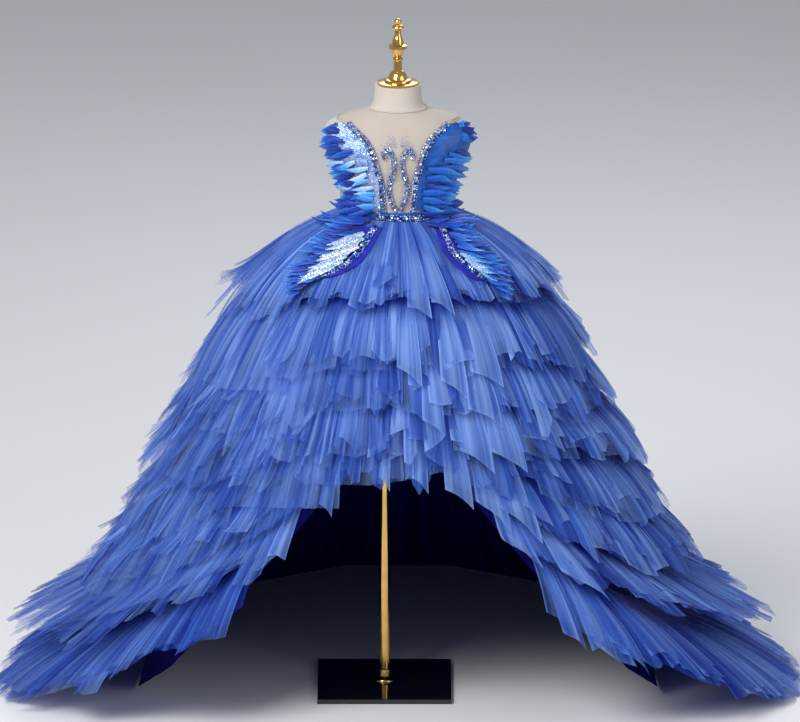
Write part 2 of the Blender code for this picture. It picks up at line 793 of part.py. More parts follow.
def make_waist_beads(mats, parts):
    """The bead rope that curves along the band at the front."""
    out = BODICE_EASE + 2 * NET + 2 * GAP + ROPE_RADIUS
    path = []
    for step in range(2 * WAIST_BEADS + 1):
        share = step / (2 * WAIST_BEADS)
        turn = math.radians(mix(*WAIST_BEADS_TURNS, share))
        height = WAIST_BEADS_Z - WAIST_BEADS_SAG * math.sin(math.pi * share)
        path.append(torso_point(height, turn, out))
    bead_rope("waist_beads", path, ROPE_RADIUS, mats["beads"], parts)


def main():
    clear_scene()
    parts = make_collection()
    mats = make_materials()
    make_stand(mats, parts)
    make_torso(mats, parts)
    make_bodice(mats, parts)
    make_skirt_base(mats, parts)
    make_tiers(mats, parts)
    make_feather_panels(mats, parts)
    make_scroll(mats, parts)
    make_waist_beads(mats, parts)
    make_wings(mats, parts)


main()
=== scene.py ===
"""A child's tiered tulle ballroom gown with a feathered bodice and hip wings, on a dress form.

Metres, +Z up, the gown's front faces -Y. A turn is an angle about the form's upright axis: 0 at the
front, positive towards +X, and 180 degrees at the back.
"""

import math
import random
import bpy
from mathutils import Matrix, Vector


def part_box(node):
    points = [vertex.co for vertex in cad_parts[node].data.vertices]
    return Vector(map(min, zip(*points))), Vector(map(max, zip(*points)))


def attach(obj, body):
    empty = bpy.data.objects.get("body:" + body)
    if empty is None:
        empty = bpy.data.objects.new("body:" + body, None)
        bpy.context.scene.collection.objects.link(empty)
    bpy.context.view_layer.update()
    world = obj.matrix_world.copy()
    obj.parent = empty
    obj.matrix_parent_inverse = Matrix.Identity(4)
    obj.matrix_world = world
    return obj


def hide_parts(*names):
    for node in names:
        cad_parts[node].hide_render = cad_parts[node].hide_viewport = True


bl_info = {
    "name": "Feathered ballroom gown",
    "version": (1, 0, 0),
    "blender": (4, 5, 0),
    "location": "View3D > Sidebar > Gown",
    "description": "Builds a tiered tulle gown with feathers and beads on its dress form",
    "category": "Add Mesh",
}

from collections import namedtuple

import bpy
from bpy.props import FloatProperty, FloatVectorProperty, IntProperty, PointerProperty
from bpy.types import Operator, Panel, PropertyGroup
from mathutils import Vector

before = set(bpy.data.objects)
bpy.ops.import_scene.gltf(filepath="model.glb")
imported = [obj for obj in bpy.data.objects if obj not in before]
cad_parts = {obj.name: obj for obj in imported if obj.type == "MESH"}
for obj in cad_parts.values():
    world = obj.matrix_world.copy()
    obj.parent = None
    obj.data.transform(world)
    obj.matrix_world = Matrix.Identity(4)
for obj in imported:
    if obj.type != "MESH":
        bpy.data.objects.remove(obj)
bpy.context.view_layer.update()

# The two halves of the gown
SIDES = (("left", -1), ("right", 1))

# The form's axis, the walls of what lies on it and the gaps between them
FORM_X = 0.026
GAP = 0.0003
CLOTH = 0.0015
NET = 0.0012
BODICE_EASE = 0.0006
ARMHOLE_EASE = 0.0026
PANEL_EASE = 0.0010
WING_EASE = 0.0015
UNDERLAY_WALL = 0.0010
SKIRT_EASE = 0.0026
TIER_LIFT = 0.004
FLOOR_CLEAR = 0.0006

# Heights on the form
WAIST_Z = 0.950
BAND_TOP_Z = 0.966
SCROLL_TOP_Z = 1.094
ARMHOLE_LOW_Z = 1.0475
ARMHOLE_TOP_Z = 1.1331
ZIP_TOP_Z = 1.140
NECK_EDGE_Z = 1.154
NECK_TOP_Z = 1.200
PLATE_TOP_Z = 0.0103

# Where the bodice net starts to stand off, and the heights over which it does and comes back
EASE_LOW_Z = 1.030
EASE_RISE = 0.016
EASE_FALL = 0.008

# Where the skirt's front ends and its back begins, in degrees, and how hems and folds wander
FRONT_END = 15
SIDE_END = 112
HEM_DRIFT = 0.008
FOLD_LEAN = 0.014
SKIRT_COLUMNS = 50
BASE_COLUMNS = 25

# The bound edges and the zip
BINDING_RADIUS = 0.0011
ZIP_HALF = 0.004

# Lengths of the cut pieces, down the cloth, and what the inner layers are gathered by
NET_LENGTH = 0.204
NET_SEAMS = 1.02
LINING_LENGTH = 0.75
PANEL_LENGTH = 0.12
PANEL_FEATHER = 0.03
WING_FEATHER = 0.06
UNDERLAY_LENGTH = 0.19
INNER_GATHER = 1.1

# Metres of cloth for a radian round the bodice and the waist
BODICE_TURN = 0.11
WAIST_TURN = 0.1

# The form's sections: height, half width, depth to the front, depth to the back, squareness
TORSO = (
    (0.690, 0.100, 0.076, 0.080, 2.0),
    (0.705, 0.113, 0.086, 0.090, 2.0),
    (0.750, 0.126, 0.095, 0.101, 2.1),
    (0.810, 0.127, 0.095, 0.101, 2.1),
    (0.880, 0.118, 0.088, 0.089, 2.1),
    (0.950, 0.1115, 0.083, 0.079, 2.1),
    (0.966, 0.1112, 0.083, 0.078, 2.1),
    (1.010, 0.1125, 0.085, 0.080, 2.1),
    (1.045, 0.1175, 0.087, 0.084, 2.2),
    (1.075, 0.129, 0.085, 0.086, 2.2),
    (1.095, 0.139, 0.079, 0.083, 2.2),
    (1.110, 0.1415, 0.071, 0.077, 2.2),
    (1.122, 0.136, 0.063, 0.069, 2.2),
    (1.132, 0.121, 0.056, 0.062, 2.2),
    (1.140, 0.096, 0.051, 0.056, 2.2),
    (1.146, 0.072, 0.048, 0.052, 2.1),
    (1.154, 0.055, 0.045, 0.048, 2.0),
    (1.168, 0.047, 0.043, 0.044, 2.0),
    (1.200, 0.0445, 0.042, 0.042, 2.0),
)

# The armhole: height, and how far from the axis the bodice net reaches there
ARMHOLE = (
    (1.040, 0.200),
    (1.050, 0.112),
    (1.075, 0.103),
    (1.095, 0.099),
    (1.110, 0.098),
    (1.122, 0.100),
    (1.132, 0.104),
    (1.140, 0.200),
)

# The finial's outline from the top down: height, radius
FINIAL = (
    (1.3290, 0.0020),
    (1.3270, 0.0058),
    (1.3235, 0.0073),
    (1.3200, 0.0062),
    (1.3170, 0.0050),
    (1.3145, 0.0104),
    (1.3115, 0.0116),
    (1.3085, 0.0100),
    (1.3060, 0.0058),
    (1.2960, 0.0066),
    (1.2880, 0.0098),
    (1.2785, 0.0110),
    (1.2765, 0.0174),
    (1.2705, 0.0174),
    (1.2690, 0.0125),
    (1.2610, 0.0108),
    (1.2530, 0.0068),
    (1.2505, 0.0096),
    (1.2475, 0.0096),
    (1.2450, 0.0078),
    (1.2270, 0.0083),
    (1.2240, 0.0130),
    (1.2170, 0.0170),
    (1.2110, 0.0190),
    (1.2100, 0.0260),
    (1.2060, 0.0265),
    (1.2045, 0.0395),
    (1.2003, 0.0395),
)

# The flange's outline from the top down: height over the plate, radius
FLANGE = (
    (0.0220, 0.0118),
    (0.0210, 0.0130),
    (0.0085, 0.0140),
    (0.0060, 0.0165),
    (0.0045, 0.0208),
    (0.0030, 0.0232),
    (0.0010, 0.0240),
    (0.0000, 0.0240),
)
POLE_RADIUS = 0.0105

# The skirt base, a row at each tier's seam: radius and height at the front, the sides and the back
BASE = (
    ("waist", 0.088, 0.9478, 0.113, 0.9478, 0.084, 0.9478),
    ("hip", 0.163, 0.888, 0.188, 0.873, 0.190, 0.875),
    ("seam_2", 0.200, 0.852, 0.236, 0.825, 0.242, 0.830),
    ("seam_3", 0.222, 0.772, 0.277, 0.722, 0.295, 0.735),
    ("seam_4", 0.235, 0.702, 0.309, 0.622, 0.356, 0.640),
    ("seam_5", 0.240, 0.632, 0.345, 0.522, 0.426, 0.545),
    ("seam_6", 0.241, 0.580, 0.379, 0.420, 0.506, 0.440),
    ("seam_7", 0.238, 0.550, 0.415, 0.300, 0.598, 0.320),
    ("seam_8", 0.235, 0.528, 0.455, 0.180, 0.708, 0.190),
    ("hem", 0.230, 0.505, 0.510, 0.000, 0.855, 0.000),
)

# The tiers: seam row, hem radius and height at the front, sides and back, how far the layer bends
# out and down, fold depth, longest point of the hem, degrees left open at the front, and a seed
Tier = namedtuple(
    "Tier",
    "name seam front_r front_z side_r side_z back_r back_z bend_out bend_down fold jag opening seed",
)
TIERS = (
    Tier("tier_1", 0, 0.247, 0.836, 0.300, 0.803, 0.306, 0.806, 0.62, 0.36, 0.010, 0.016, 0, 11),
    Tier("tier_2", 2, 0.284, 0.722, 0.360, 0.664, 0.420, 0.680, 0.66, 0.34, 0.013, 0.024, 0, 12),
    Tier("tier_3", 3, 0.300, 0.650, 0.404, 0.570, 0.478, 0.594, 0.66, 0.34, 0.015, 0.026, 0, 13),
    Tier("tier_4", 4, 0.308, 0.572, 0.448, 0.484, 0.555, 0.494, 0.66, 0.34, 0.016, 0.028, 0, 14),
    Tier("tier_5", 5, 0.306, 0.500, 0.494, 0.366, 0.654, 0.390, 0.66, 0.34, 0.018, 0.030, 0, 15),
    Tier("tier_6", 6, 0.296, 0.478, 0.562, 0.256, 0.775, 0.272, 0.66, 0.34, 0.016, 0.028, 27, 16),
    Tier("tier_7", 7, 0.296, 0.420, 0.674, 0.148, 0.890, 0.142, 0.50, 0.46, 0.012, 0.028, 31, 17),
    Tier("tier_8", 8, 0.316, 0.330, 0.765, 0.000, 1.000, 0.000, 0.70, 0.46, 0.012, 0.022, 40, 18),
)

# Rows and columns of the tiers' meshes: the inner layers round the form, a strip and a veil
CORE_COLUMNS = 600
CORE_ROWS = 18
STRIP_MESH = (11, 5)
VEIL_MESH = (14, 18)

# Long strips that hang below their tier: tier number, turn, share of the tier's length, half width
LONG_STRIPS = (
    (5, 31, 1.18, 0.026),
    (5, 38, 1.12, 0.030),
    (5, -24, 1.14, 0.012),
    (4, 8, 1.00, 0.014),
    (4, -4, 0.98, 0.010),
    (6, 47, 1.10, 0.028),
    (4, 20, 1.12, 0.024),
    (3, 26, 1.12, 0.028),
    (3, 36, 1.08, 0.030),
    (2, 12, 1.16, 0.020),
    (2, 30, 1.10, 0.030),
    (1, 20, 1.18, 0.024),
    (1, 32, 1.08, 0.028),
    (1, 4, 1.10, 0.022),
    (0, 9, 1.16, 0.020),
    (0, 18, 1.12, 0.018),
    (6, -36, 1.12, 0.014),
)

# The bodice's feather rows: root distance from the centre and height, tip turn, height, stand-off
BODICE_FEATHERS = (
    (0.090, 1.129, 70, 1.126, 0.003),
    (0.075, 1.117, 76, 1.112, 0.005),
    (0.060, 1.105, 82, 1.094, 0.008),
    (0.049, 1.091, 86, 1.072, 0.012),
    (0.042, 1.074, 88, 1.050, 0.014),
    (0.037, 1.055, 84, 1.032, 0.012),
    (0.032, 1.037, 76, 1.016, 0.009),
    (0.028, 1.018, 70, 1.002, 0.007),
    (0.028, 1.000, 65, 0.990, 0.005),
    (0.026, 0.982, 62, 0.974, 0.004),
)
PANEL_END = 9.6
CHEST_EDGE_END = 9.7

# The panels' feather layers, left and right: rows from and to, count, root and tip share, half
# width, lift, tint and tip tint
PANEL_LAYERS = {
    -1: (
        (0.0, 9.5, 13, 0.50, 1.03, 1.15, 0.0018, 0.16, 0.62),
        (0.4, 9.4, 10, 0.38, 0.84, 1.05, 0.0034, 0.04, 0.34),
        (1.6, 9.4, 8, 0.26, 0.66, 0.95, 0.0046, 0.10, 0.30),
        (4.4, 9.4, 7, 0.12, 0.48, 0.90, 0.0052, 0.60, 0.72),
    ),
    1: (
        (0.0, 9.5, 12, 0.50, 1.03, 1.15, 0.0018, 0.30, 0.72),
        (0.0, 1.6, 4, 0.62, 0.98, 0.95, 0.0034, 0.04, 0.20),
        (2.8, 9.4, 9, 0.34, 0.90, 1.15, 0.0034, 0.26, 0.60),
        (4.6, 9.4, 6, 0.14, 0.64, 1.10, 0.0046, 0.36, 0.56),
    ),
}

# The bead scroll in the open centre, one of a pair: distance from the centre, and height
SCROLL = (
    (0.0050, 0.972),
    (0.0105, 0.984),
    (0.0150, 0.997),
    (0.0175, 1.011),
    (0.0165, 1.025),
    (0.0125, 1.038),
    (0.0085, 1.051),
    (0.0075, 1.065),
    (0.0100, 1.078),
    (0.0160, 1.088),
    (0.0235, 1.089),
    (0.0275, 1.082),
    (0.0250, 1.074),
)
SCROLL_END = 11.999
ROPE_RADIUS = 0.0032
SCROLL_BEAD = 0.0022
SEED_BEAD = 0.00075
BEAD_LIFT = 0.0022

# The rows of a bead edge, from its middle line out: spacing and radius, in large beads' radii
BEAD_ROWS = ((2.05, 1.0), (1.35, 0.62), (1.35, 0.62), (0.85, 0.34), (0.85, 0.34))

# The hip wings' rows: root turn left and right, root share of tier 1, tip turn, share, stand-off
WING_FEATHERS = (
    (22, 42, 0.08, 66, 0.10, 0.010),
    (23, 38, 0.18, 60, 0.21, 0.012),
    (23, 36, 0.28, 57, 0.33, 0.012),
    (24, 34, 0.38, 56, 0.45, 0.012),
    (26, 35, 0.48, 55, 0.57, 0.012),
    (29, 37, 0.57, 54, 0.69, 0.012),
    (34, 40, 0.65, 52, 0.82, 0.012),
    (40, 43, 0.71, 47, 0.93, 0.010),
)
WING_END = 7.0
WING_EDGE_END = 6.999
WING_TILT_TOP = 1.1
WING_TILT_HEM = 0.6
# How far, in degrees, the dark underlay shows past the bead edge, as a band that is also the wing's
# painted shadow on the tulle, and how far it reaches under the feathers
UNDERLAY_MARGIN = 6.0
UNDERLAY_COVER = 16.0

# The wings' feather layers, left and right, as the panels' ones, with the slant of their tips
WING_LAYERS = {
    -1: (
        (0.0, 7.0, 15, 0.44, 1.03, 1.15, 0.0010, 0.10, 0.52, 0.4),
        (0.0, 6.6, 12, 0.30, 0.86, 1.05, 0.0024, 0.02, 0.40, 0.5),
        (0.4, 6.0, 8, 0.16, 0.66, 1.00, 0.0036, 0.20, 0.60, 0.9),
        (0.8, 5.4, 8, 0.06, 0.56, 1.45, 0.0050, 0.95, 0.90, 1.7),
    ),
    1: (
        (0.0, 7.0, 16, 0.42, 1.03, 1.05, 0.0010, 0.16, 0.50, 0.5),
        (0.0, 6.6, 13, 0.26, 0.84, 1.00, 0.0024, 0.10, 0.46, 0.6),
        (0.2, 6.2, 11, 0.08, 0.60, 1.00, 0.0038, 0.30, 0.58, 0.8),
        (3.4, 5.8, 4, 0.04, 0.42, 1.00, 0.0050, 0.90, 0.80, 1.0),
    ),
}

# Shades of the beads and the sequins, from the darkest to the palest
BEAD_STOPS = (
    (0.00, (0.004, 0.012, 0.16)),
    (0.28, (0.012, 0.05, 0.42)),
    (0.45, (0.05, 0.20, 0.66)),
    (0.60, (0.12, 0.42, 0.58)),
    (0.74, (0.36, 0.47, 0.80)),
    (1.00, (0.86, 0.90, 1.00)),
)
SEQUIN_STOPS = (
    (0.00, (0.12, 0.30, 0.66)),
    (0.40, (0.42, 0.56, 0.82)),
    (0.70, (0.72, 0.78, 0.92)),
    (1.00, (0.58, 0.78, 0.80)),
)

# Shades of the cut feathers, by tint, and of the sequinned cloth
FEATHER_STOPS = (
    (0.00, (0.002, 0.014, 0.17)),
    (0.22, (0.004, 0.045, 0.40)),
    (0.45, (0.006, 0.14, 0.58)),
    (0.66, (0.06, 0.33, 0.74)),
    (0.84, (0.34, 0.55, 0.86)),
    (1.00, (0.70, 0.76, 0.90)),
)
SKY_LOW = (0.03, 0.14, 0.50)
SKY_HIGH = (0.40, 0.53, 0.80)
ZIP_METAL = (0.80, 0.72, 0.55)

# The camera: its aim, and how wide the view is where it aims
AIM = Vector((0.030, 0.0, 0.6495))
VIEW_WIDTH = 1.544
SENSOR = 36.0


class StandSettings(PropertyGroup):
    """Finishes of the dress form and its stand."""

    gold: FloatVectorProperty(
        name="Gold",
        description="Colour of the plated pole, flange and finial",
        subtype="COLOR",
        size=3,
        default=(0.74, 0.46, 0.14),
    )
    linen: FloatVectorProperty(
        name="Linen",
        description="Colour of the form's cover",
        subtype="COLOR",
        size=3,
        default=(0.52, 0.47, 0.41),
    )
    plate: FloatVectorProperty(
        name="Plate",
        description="Colour of the glossy base plate",
        subtype="COLOR",
        size=3,
        default=(0.004, 0.004, 0.005),
    )
    sides: IntProperty(
        name="Sides",
        description="Sides of the turned pieces",
        default=72,
        min=12,
        max=256,
    )


class TulleSettings(PropertyGroup):
    """Sizes and colours of the gathered tiers."""

    light: FloatVectorProperty(
        name="Lit folds",
        description="Colour of a single layer that catches the light",
        subtype="COLOR",
        size=3,
        default=(0.29, 0.49, 0.98),
    )
    mid: FloatVectorProperty(
        name="Layers",
        description="Colour of a few layers together",
        subtype="COLOR",
        size=3,
        default=(0.056, 0.155, 0.62),
    )
    # The deep colour also serves as the painted shade in troughs, under the tier above and on the
    # lower tiers.
    deep: FloatVectorProperty(
        name="Deep folds",
        description="Colour where many layers lie over each other",
        subtype="COLOR",
        size=3,
        default=(0.004, 0.020, 0.30),
    )
    lining: FloatVectorProperty(
        name="Lining",
        description="Colour of the net that the tiers are sewn to",
        subtype="COLOR",
        size=3,
        default=(0.002, 0.002, 0.07),
    )
    pleat: FloatProperty(
        name="Fine pleats",
        description="Depth of the fine pleats at the hems",
        subtype="DISTANCE",
        unit="LENGTH",
        default=0.0032,
        min=0.0,
        max=0.01,
    )
    spacing: FloatProperty(
        name="Strip spacing",
        description="Mean distance between two cut strips at a hem",
        subtype="DISTANCE",
        unit="LENGTH",
        default=0.020,
        min=0.008,
        max=0.1,
    )
    veil_spacing: FloatProperty(
        name="Veil spacing",
        description="Mean distance between two broad sheer panels at a hem",
        subtype="DISTANCE",
        unit="LENGTH",
        default=0.13,
        min=0.05,
        max=0.5,
    )


class BodiceSettings(PropertyGroup):
    """Sizes and colours of the bodice, the wings and their trimming."""

    net: FloatVectorProperty(
        name="Illusion net",
        description="Colour of the sheer nude net",
        subtype="COLOR",
        size=3,
        default=(0.56, 0.50, 0.45),
    )
    satin: FloatVectorProperty(
        name="Azure satin",
        description="Colour of the satin of the waistband and the right panel",
        subtype="COLOR",
        size=3,
        default=(0.003, 0.072, 0.34),
    )
    # The underlay's dark band past the bead edge also stands in for the wing's shadow on the tulle.
    cobalt: FloatVectorProperty(
        name="Cobalt satin",
        description="Colour of the dark layer under the wings",
        subtype="COLOR",
        size=3,
        default=(0.008, 0.012, 0.36),
    )
    feather_width: FloatProperty(
        name="Feather half width",
        description="Half width of a long feather",
        subtype="DISTANCE",
        unit="LENGTH",
        default=0.0065,
        min=0.002,
        max=0.02,
    )
    bead: FloatProperty(
        name="Bead radius",
        description="Radius of the large beads on the edges",
        subtype="DISTANCE",
        unit="LENGTH",
        default=0.0027,
        min=0.001,
        max=0.004,
    )
    sequins: FloatProperty(
        name="Sequin density",
        description="Sequins for a square metre of the sequinned cloth",
        default=260000.0,
        min=0.0,
        max=1000000.0,
    )


class StageSettings(PropertyGroup):
    """The floor, the lights and the camera."""

    floor: FloatVectorProperty(
        name="Floor",
        description="Colour of the plain floor",
        subtype="COLOR",
        size=3,
        default=(0.80, 0.81, 0.83),
    )
    key: FloatProperty(
        name="Key light",
        description="Power of the large light at the upper left",
        subtype="POWER",
        default=150.0,
        min=0.0,
    )
    fill: FloatProperty(
        name="Fill light",
        description="Power of the light at the right",
        subtype="POWER",
        default=42.0,
        min=0.0,
    )
    elevation: FloatProperty(
        name="Camera elevation",
        description="Angle of the view above the horizon",
        subtype="ANGLE",
        default=math.radians(15.0),
        min=0.0,
        max=math.radians(80.0),
    )
    distance: FloatProperty(
        name="Camera distance",
        description="From the camera to the point it aims at",
        subtype="DISTANCE",
        unit="LENGTH",
        default=24.0,
        min=2.0,
        max=60.0,
    )


# Numbers and curves


def mix(a, b, share):
    """From a to b."""
    return a + (b - a) * share


def smooth(share):
    """An eased share, flat at 0 and 1."""
    share = min(max(share, 0.0), 1.0)
    return share * share * (3.0 - 2.0 * share)


def scatter(seed, index):
    """A steady number between -1 and 1 for a place in a row."""
    value = math.sin(seed * 127.1 + index * 311.7) * 43758.5453
    return 2.0 * (value - math.floor(value)) - 1.0


def from_table(rows, key):
    """The rest of a table's row at this key, read between rows that rise by their first column."""
    if key <= rows[0][0]:
        return rows[0][1:]
    for low, high in zip(rows, rows[1:]):
        if key <= high[0]:
            share = (key - low[0]) / (high[0] - low[0])
            return tuple(mix(a, b, share) for a, b in zip(low[1:], high[1:]))
    return rows[-1][1:]


def at_row(rows, place):
    """A row between the rows of a table, at a place that counts them from 0."""
    first = min(max(int(place), 0), len(rows) - 2)
    return tuple(mix(a, b, place - first) for a, b in zip(rows[first], rows[first + 1]))


def curved_table(rows, key):
    """A table's row at this key, on one smooth curve through its rows."""
    last = len(rows) - 1
    key = min(max(key, rows[0][0]), rows[last][0])
    i = 0
    while i < last - 1 and key > rows[i + 1][0]:
        i += 1
    span = rows[i + 1][0] - rows[i][0]
    t = (key - rows[i][0]) / span
    found = []
    for column in range(1, len(rows[0])):

        def slope(at):
            low = max(at - 1, 0)
            high = min(at + 1, last)
            return (rows[high][column] - rows[low][column]) / (rows[high][0] - rows[low][0])

        a = rows[i][column]
        b = rows[i + 1][column]
        value = (2 * t**3 - 3 * t**2 + 1) * a + (3 * t**2 - 2 * t**3) * b
        value += (t**3 - 2 * t**2 + t) * span * slope(i) + (t**3 - t**2) * span * slope(i + 1)
        found.append(value)
    return found


# Places on the form and the skirt


def torso_ring(height, turn):
    """A point on the form's surface, from the form's axis."""
    half_width, front, back, square = curved_table(TORSO, height)
    across = math.sin(turn)
    along = math.cos(turn)
    x = math.copysign(half_width * abs(across) ** (2.0 / square), across)
    depth = front if along > 0 else back
    y = -math.copysign(depth * abs(along) ** (2.0 / square), along)
    return Vector((x, y, height))


def torso_point(height, turn, out=0.0):
    """A point over the form's surface, moved out along the surface's normal."""
    point = torso_ring(height, turn)
    if out:
        around = torso_ring(height, turn + 0.03) - torso_ring(height, turn - 0.03)
        up = torso_ring(height + 0.004, turn) - torso_ring(height - 0.004, turn)
        point = point + around.cross(up).normalized() * out
    return Vector((point.x + FORM_X, point.y, point.z))


def turn_at(height, x):
    """The turn at which the front of the form lies this far from its axis."""
    half_width, _, _, square = curved_table(TORSO, height)
    return math.asin(min(abs(x) / half_width, 1.0) ** (square / 2.0))


def side_turn(height):
    """The turn at which the bodice net ends at the side, at the armhole or at the seam."""
    (reach,) = from_table(ARMHOLE, height)
    if reach >= curved_table(TORSO, height)[0]:
        return math.pi / 2
    return turn_at(height, reach)


def net_ease(height):
    """How far the bodice net lies off the form at this height."""
    start = (height - EASE_LOW_Z) / EASE_RISE
    end = (NECK_EDGE_Z - height) / EASE_FALL
    return BODICE_EASE + ARMHOLE_EASE * min(smooth(start), smooth(end))


def spread(turn, front, side, back):
    """A skirt size at a turn, from its sizes at the front, the sides and the back."""
    degrees = abs(math.degrees(turn)) % 360
    if degrees > 180:
        degrees = 360 - degrees
    if degrees <= 90:
        return mix(front, side, smooth((degrees - FRONT_END) / (90 - FRONT_END)))
    return mix(side, back, smooth((degrees - SIDE_END) / (180 - SIDE_END)))


def skirt_place(turn, radius, height):
    """A point at a radius and height about the form's axis."""
    return Vector((FORM_X + radius * math.sin(turn), -radius * math.cos(turn), height))


def base_point(row, turn):
    """A point on the skirt base at one of its rows."""
    if row == 0:
        return torso_point(BASE[0][2], turn, SKIRT_EASE)
    _, front_r, front_z, side_r, side_z, back_r, back_z = BASE[row]
    radius = spread(turn, front_r, side_r, back_r)
    return skirt_place(turn, radius, spread(turn, front_z, side_z, back_z))


def seam_point(row, turn):
    """A point of a tier's seam, just over the base's flat facets."""
    place = turn / math.tau * BASE_COLUMNS
    first = math.floor(place)
    here = base_point(row, math.tau * first / BASE_COLUMNS)
    after = base_point(row, math.tau * (first + 1) / BASE_COLUMNS)
    spot = here.lerp(after, place - first)
    away = Vector((spot.x - FORM_X, spot.y, 0)).normalized()
    return spot + (away + Vector((0, 0, 0.35))).normalized() * (CLOTH + 2 * GAP)


class TierPath:
    """The way of a tier's cloth down from its seam, at one turn."""

    def __init__(self, tier, turn):
        self.fold = tier.fold
        self.jag = tier.jag
        self.turn = turn
        self.top = seam_point(tier.seam, turn)
        self.start_r = math.hypot(self.top.x - FORM_X, self.top.y)
        self.hem_r = spread(turn, tier.front_r, tier.side_r, tier.back_r)
        self.hem_z = spread(turn, tier.front_z, tier.side_z, tier.back_z)
        self.bend_r = mix(self.start_r, self.hem_r, tier.bend_out)
        self.bend_z = mix(self.top.z, self.hem_z, tier.bend_down)
        self.length = math.hypot(self.hem_r - self.start_r, self.top.z - self.hem_z)
        slow = math.sin(3 * turn + tier.seed) + math.sin(7 * turn + 2 * tier.seed)
        self.drift = HEM_DRIFT * 0.5 * slow

    def spot(self, share, crest, out=0.0, lean=0.0, longer=0.0):
        """A point at a share of the length, on folds that stand out by crest, moved out."""
        reach = share * (1.0 + (self.jag * crest + self.drift + longer) / self.length)
        ease = 1.0 - reach
        radius = ease * ease * self.start_r + 2 * ease * reach * self.bend_r
        radius += reach * reach * self.hem_r
        height = ease * ease * self.top.z + 2 * ease * reach * self.bend_z
        height += reach * reach * self.hem_z
        out_r = ease * (self.top.z - self.bend_z) + reach * (self.bend_z - self.hem_z)
        out_z = ease * (self.bend_r - self.start_r) + reach * (self.hem_r - self.bend_r)
        size = math.hypot(out_r, out_z) or 1.0
        radius += self.fold * crest * max(share, 0.0) ** 1.3 + TIER_LIFT * min(4 * share, 1.0)
        radius += out * out_r / size
        height += out * out_z / size
        return skirt_place(self.turn + lean * share, radius, max(height, FLOOR_CLEAR))


def fold_at(tier, turn):
    """How far a tier's main fold stands out at a turn, and how far it leans."""
    place = (turn / math.tau * SKIRT_COLUMNS) % SKIRT_COLUMNS
    first = math.floor(place)
    share = 0.5 - 0.5 * math.cos(math.pi * (place - first))
    crests = []
    leans = []
    for column in (first, (first + 1) % SKIRT_COLUMNS):
        crests.append((1 if column % 2 else -1) * (0.65 + 0.35 * scatter(tier.seed, column)))
        leans.append(FOLD_LEAN * scatter(tier.seed + 5, column))
    return mix(*crests, share), mix(*leans, share)


def pleat_at(turn, seed):
    """The fine pleats of a layer at a turn, from -1 to 1 and uneven."""
    broad = math.sin(73 * turn + 3.0 * math.sin(5 * turn + seed))
    fine = math.sin(137 * turn + 4.0 * math.sin(8 * turn + 2 * seed))
    gather = 0.6 + 0.4 * math.sin(11 * turn + 3 * seed)
    return gather * (0.6 * broad + 0.4 * fine)


def front_degrees(turn):
    """How many degrees a turn is from the front, to either side."""
    return abs(math.degrees(math.atan2(math.sin(turn), math.cos(turn))))


def wing_place(side, degrees, share, out):
    """A point over tier 1's highest folds."""
    path = TierPath(TIERS[0], side * math.radians(degrees))
    spot = path.spot(max(share, 0.001), 1.0)
    radius = math.hypot(spot.x - FORM_X, spot.y)
    away = CLOTH + 1.5 * GAP + WING_EASE * share + out
    tilt = mix(WING_TILT_TOP, WING_TILT_HEM, share)
    return skirt_place(path.turn, radius + away * math.cos(tilt), spot.z + away * math.sin(tilt))


# Meshes


def woven(rows, columns, spot):
    """Rows of points and of cloth coordinates, from a function of the shares down and across."""
    points = []
    coords = []
    for row in range(rows + 1):
        made = [spot(row / rows, column / columns) for column in range(columns + 1)]
        points.append([point for point, _ in made])
        coords.append([pair for _, pair in made])
    return points, coords


def placed_object(name, data):
    """An object with this mesh, cord, light or camera, linked to the scene."""
    obj = bpy.data.objects.new(name, data)
    bpy.context.scene.collection.objects.link(obj)
    return obj


class Cloth:
    """Collects grids of points into one mesh, with cloth coordinates and shading values."""

    def __init__(self):
        self.points = []
        self.faces = []
        self.corners = []
        self.values = {}

    def grid(self, rows, coords, closed=False, facing=None, **values):
        """Adds a grid. coords has a pair for each point, and one more column if the grid is closed."""
        if facing is not None:
            a = rows[1][0] - rows[0][0]
            b = rows[0][1] - rows[0][0]
            if a.cross(b).dot(facing) < 0:
                rows = [list(reversed(row)) for row in rows]
                coords = [list(reversed(row)) for row in coords]
                values = {
                    key: [list(reversed(row)) for row in value] for key, value in values.items()
                }
        start = len(self.points)
        columns = len(rows[0])
        spans = columns if closed else columns - 1
        for row in rows:
            self.points.extend(row)
        for key, value in values.items():
            stored = self.values.setdefault(key, [])
            for row in value:
                stored.extend(row)
        for r in range(len(rows) - 1):
            for c in range(spans):
                after = (c + 1) % columns
                here = start + r * columns
                below = here + columns
                self.faces.append((here + c, below + c, below + after, here + after))
                near = (coords[r][c], coords[r + 1][c], coords[r + 1][c + 1], coords[r][c + 1])
                self.corners.extend(near)

    def area(self):
        """The surface of the mesh, in square metres."""
        total = 0.0
        for a, b, c, d in self.faces:
            p, q, r, s = (self.points[i] for i in (a, b, c, d))
            total += (r - p).cross(s - q).length / 2
        return total

    def make(self, name, mat):
        """The finished object."""
        mesh = bpy.data.meshes.new(name)
        mesh.from_pydata([tuple(p) for p in self.points], [], self.faces)
        layer = mesh.uv_layers.new(name="cloth")
        layer.data.foreach_set("uv", [value for corner in self.corners for value in corner])
        for key, value in self.values.items():
            attribute = mesh.attributes.new(key, "FLOAT", "POINT")
            attribute.data.foreach_set("value", value)
        mesh.shade_smooth()
        mesh.materials.append(mat)
        return placed_object(name, mesh)


def seat(obj, slot, *nodes):
    """Puts a finished piece on the gown: what it rides on, and what it stands for."""
    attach(obj, "root")
    if nodes:
        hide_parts(*nodes)
    return obj


def lay(piece, cloth, length, gather=1.0):
    """Works out how wide a cloth piece is cut at this length, from its surface, and returns the piece
    unchanged.
    """
    width = cloth.area() / length * gather
    return piece


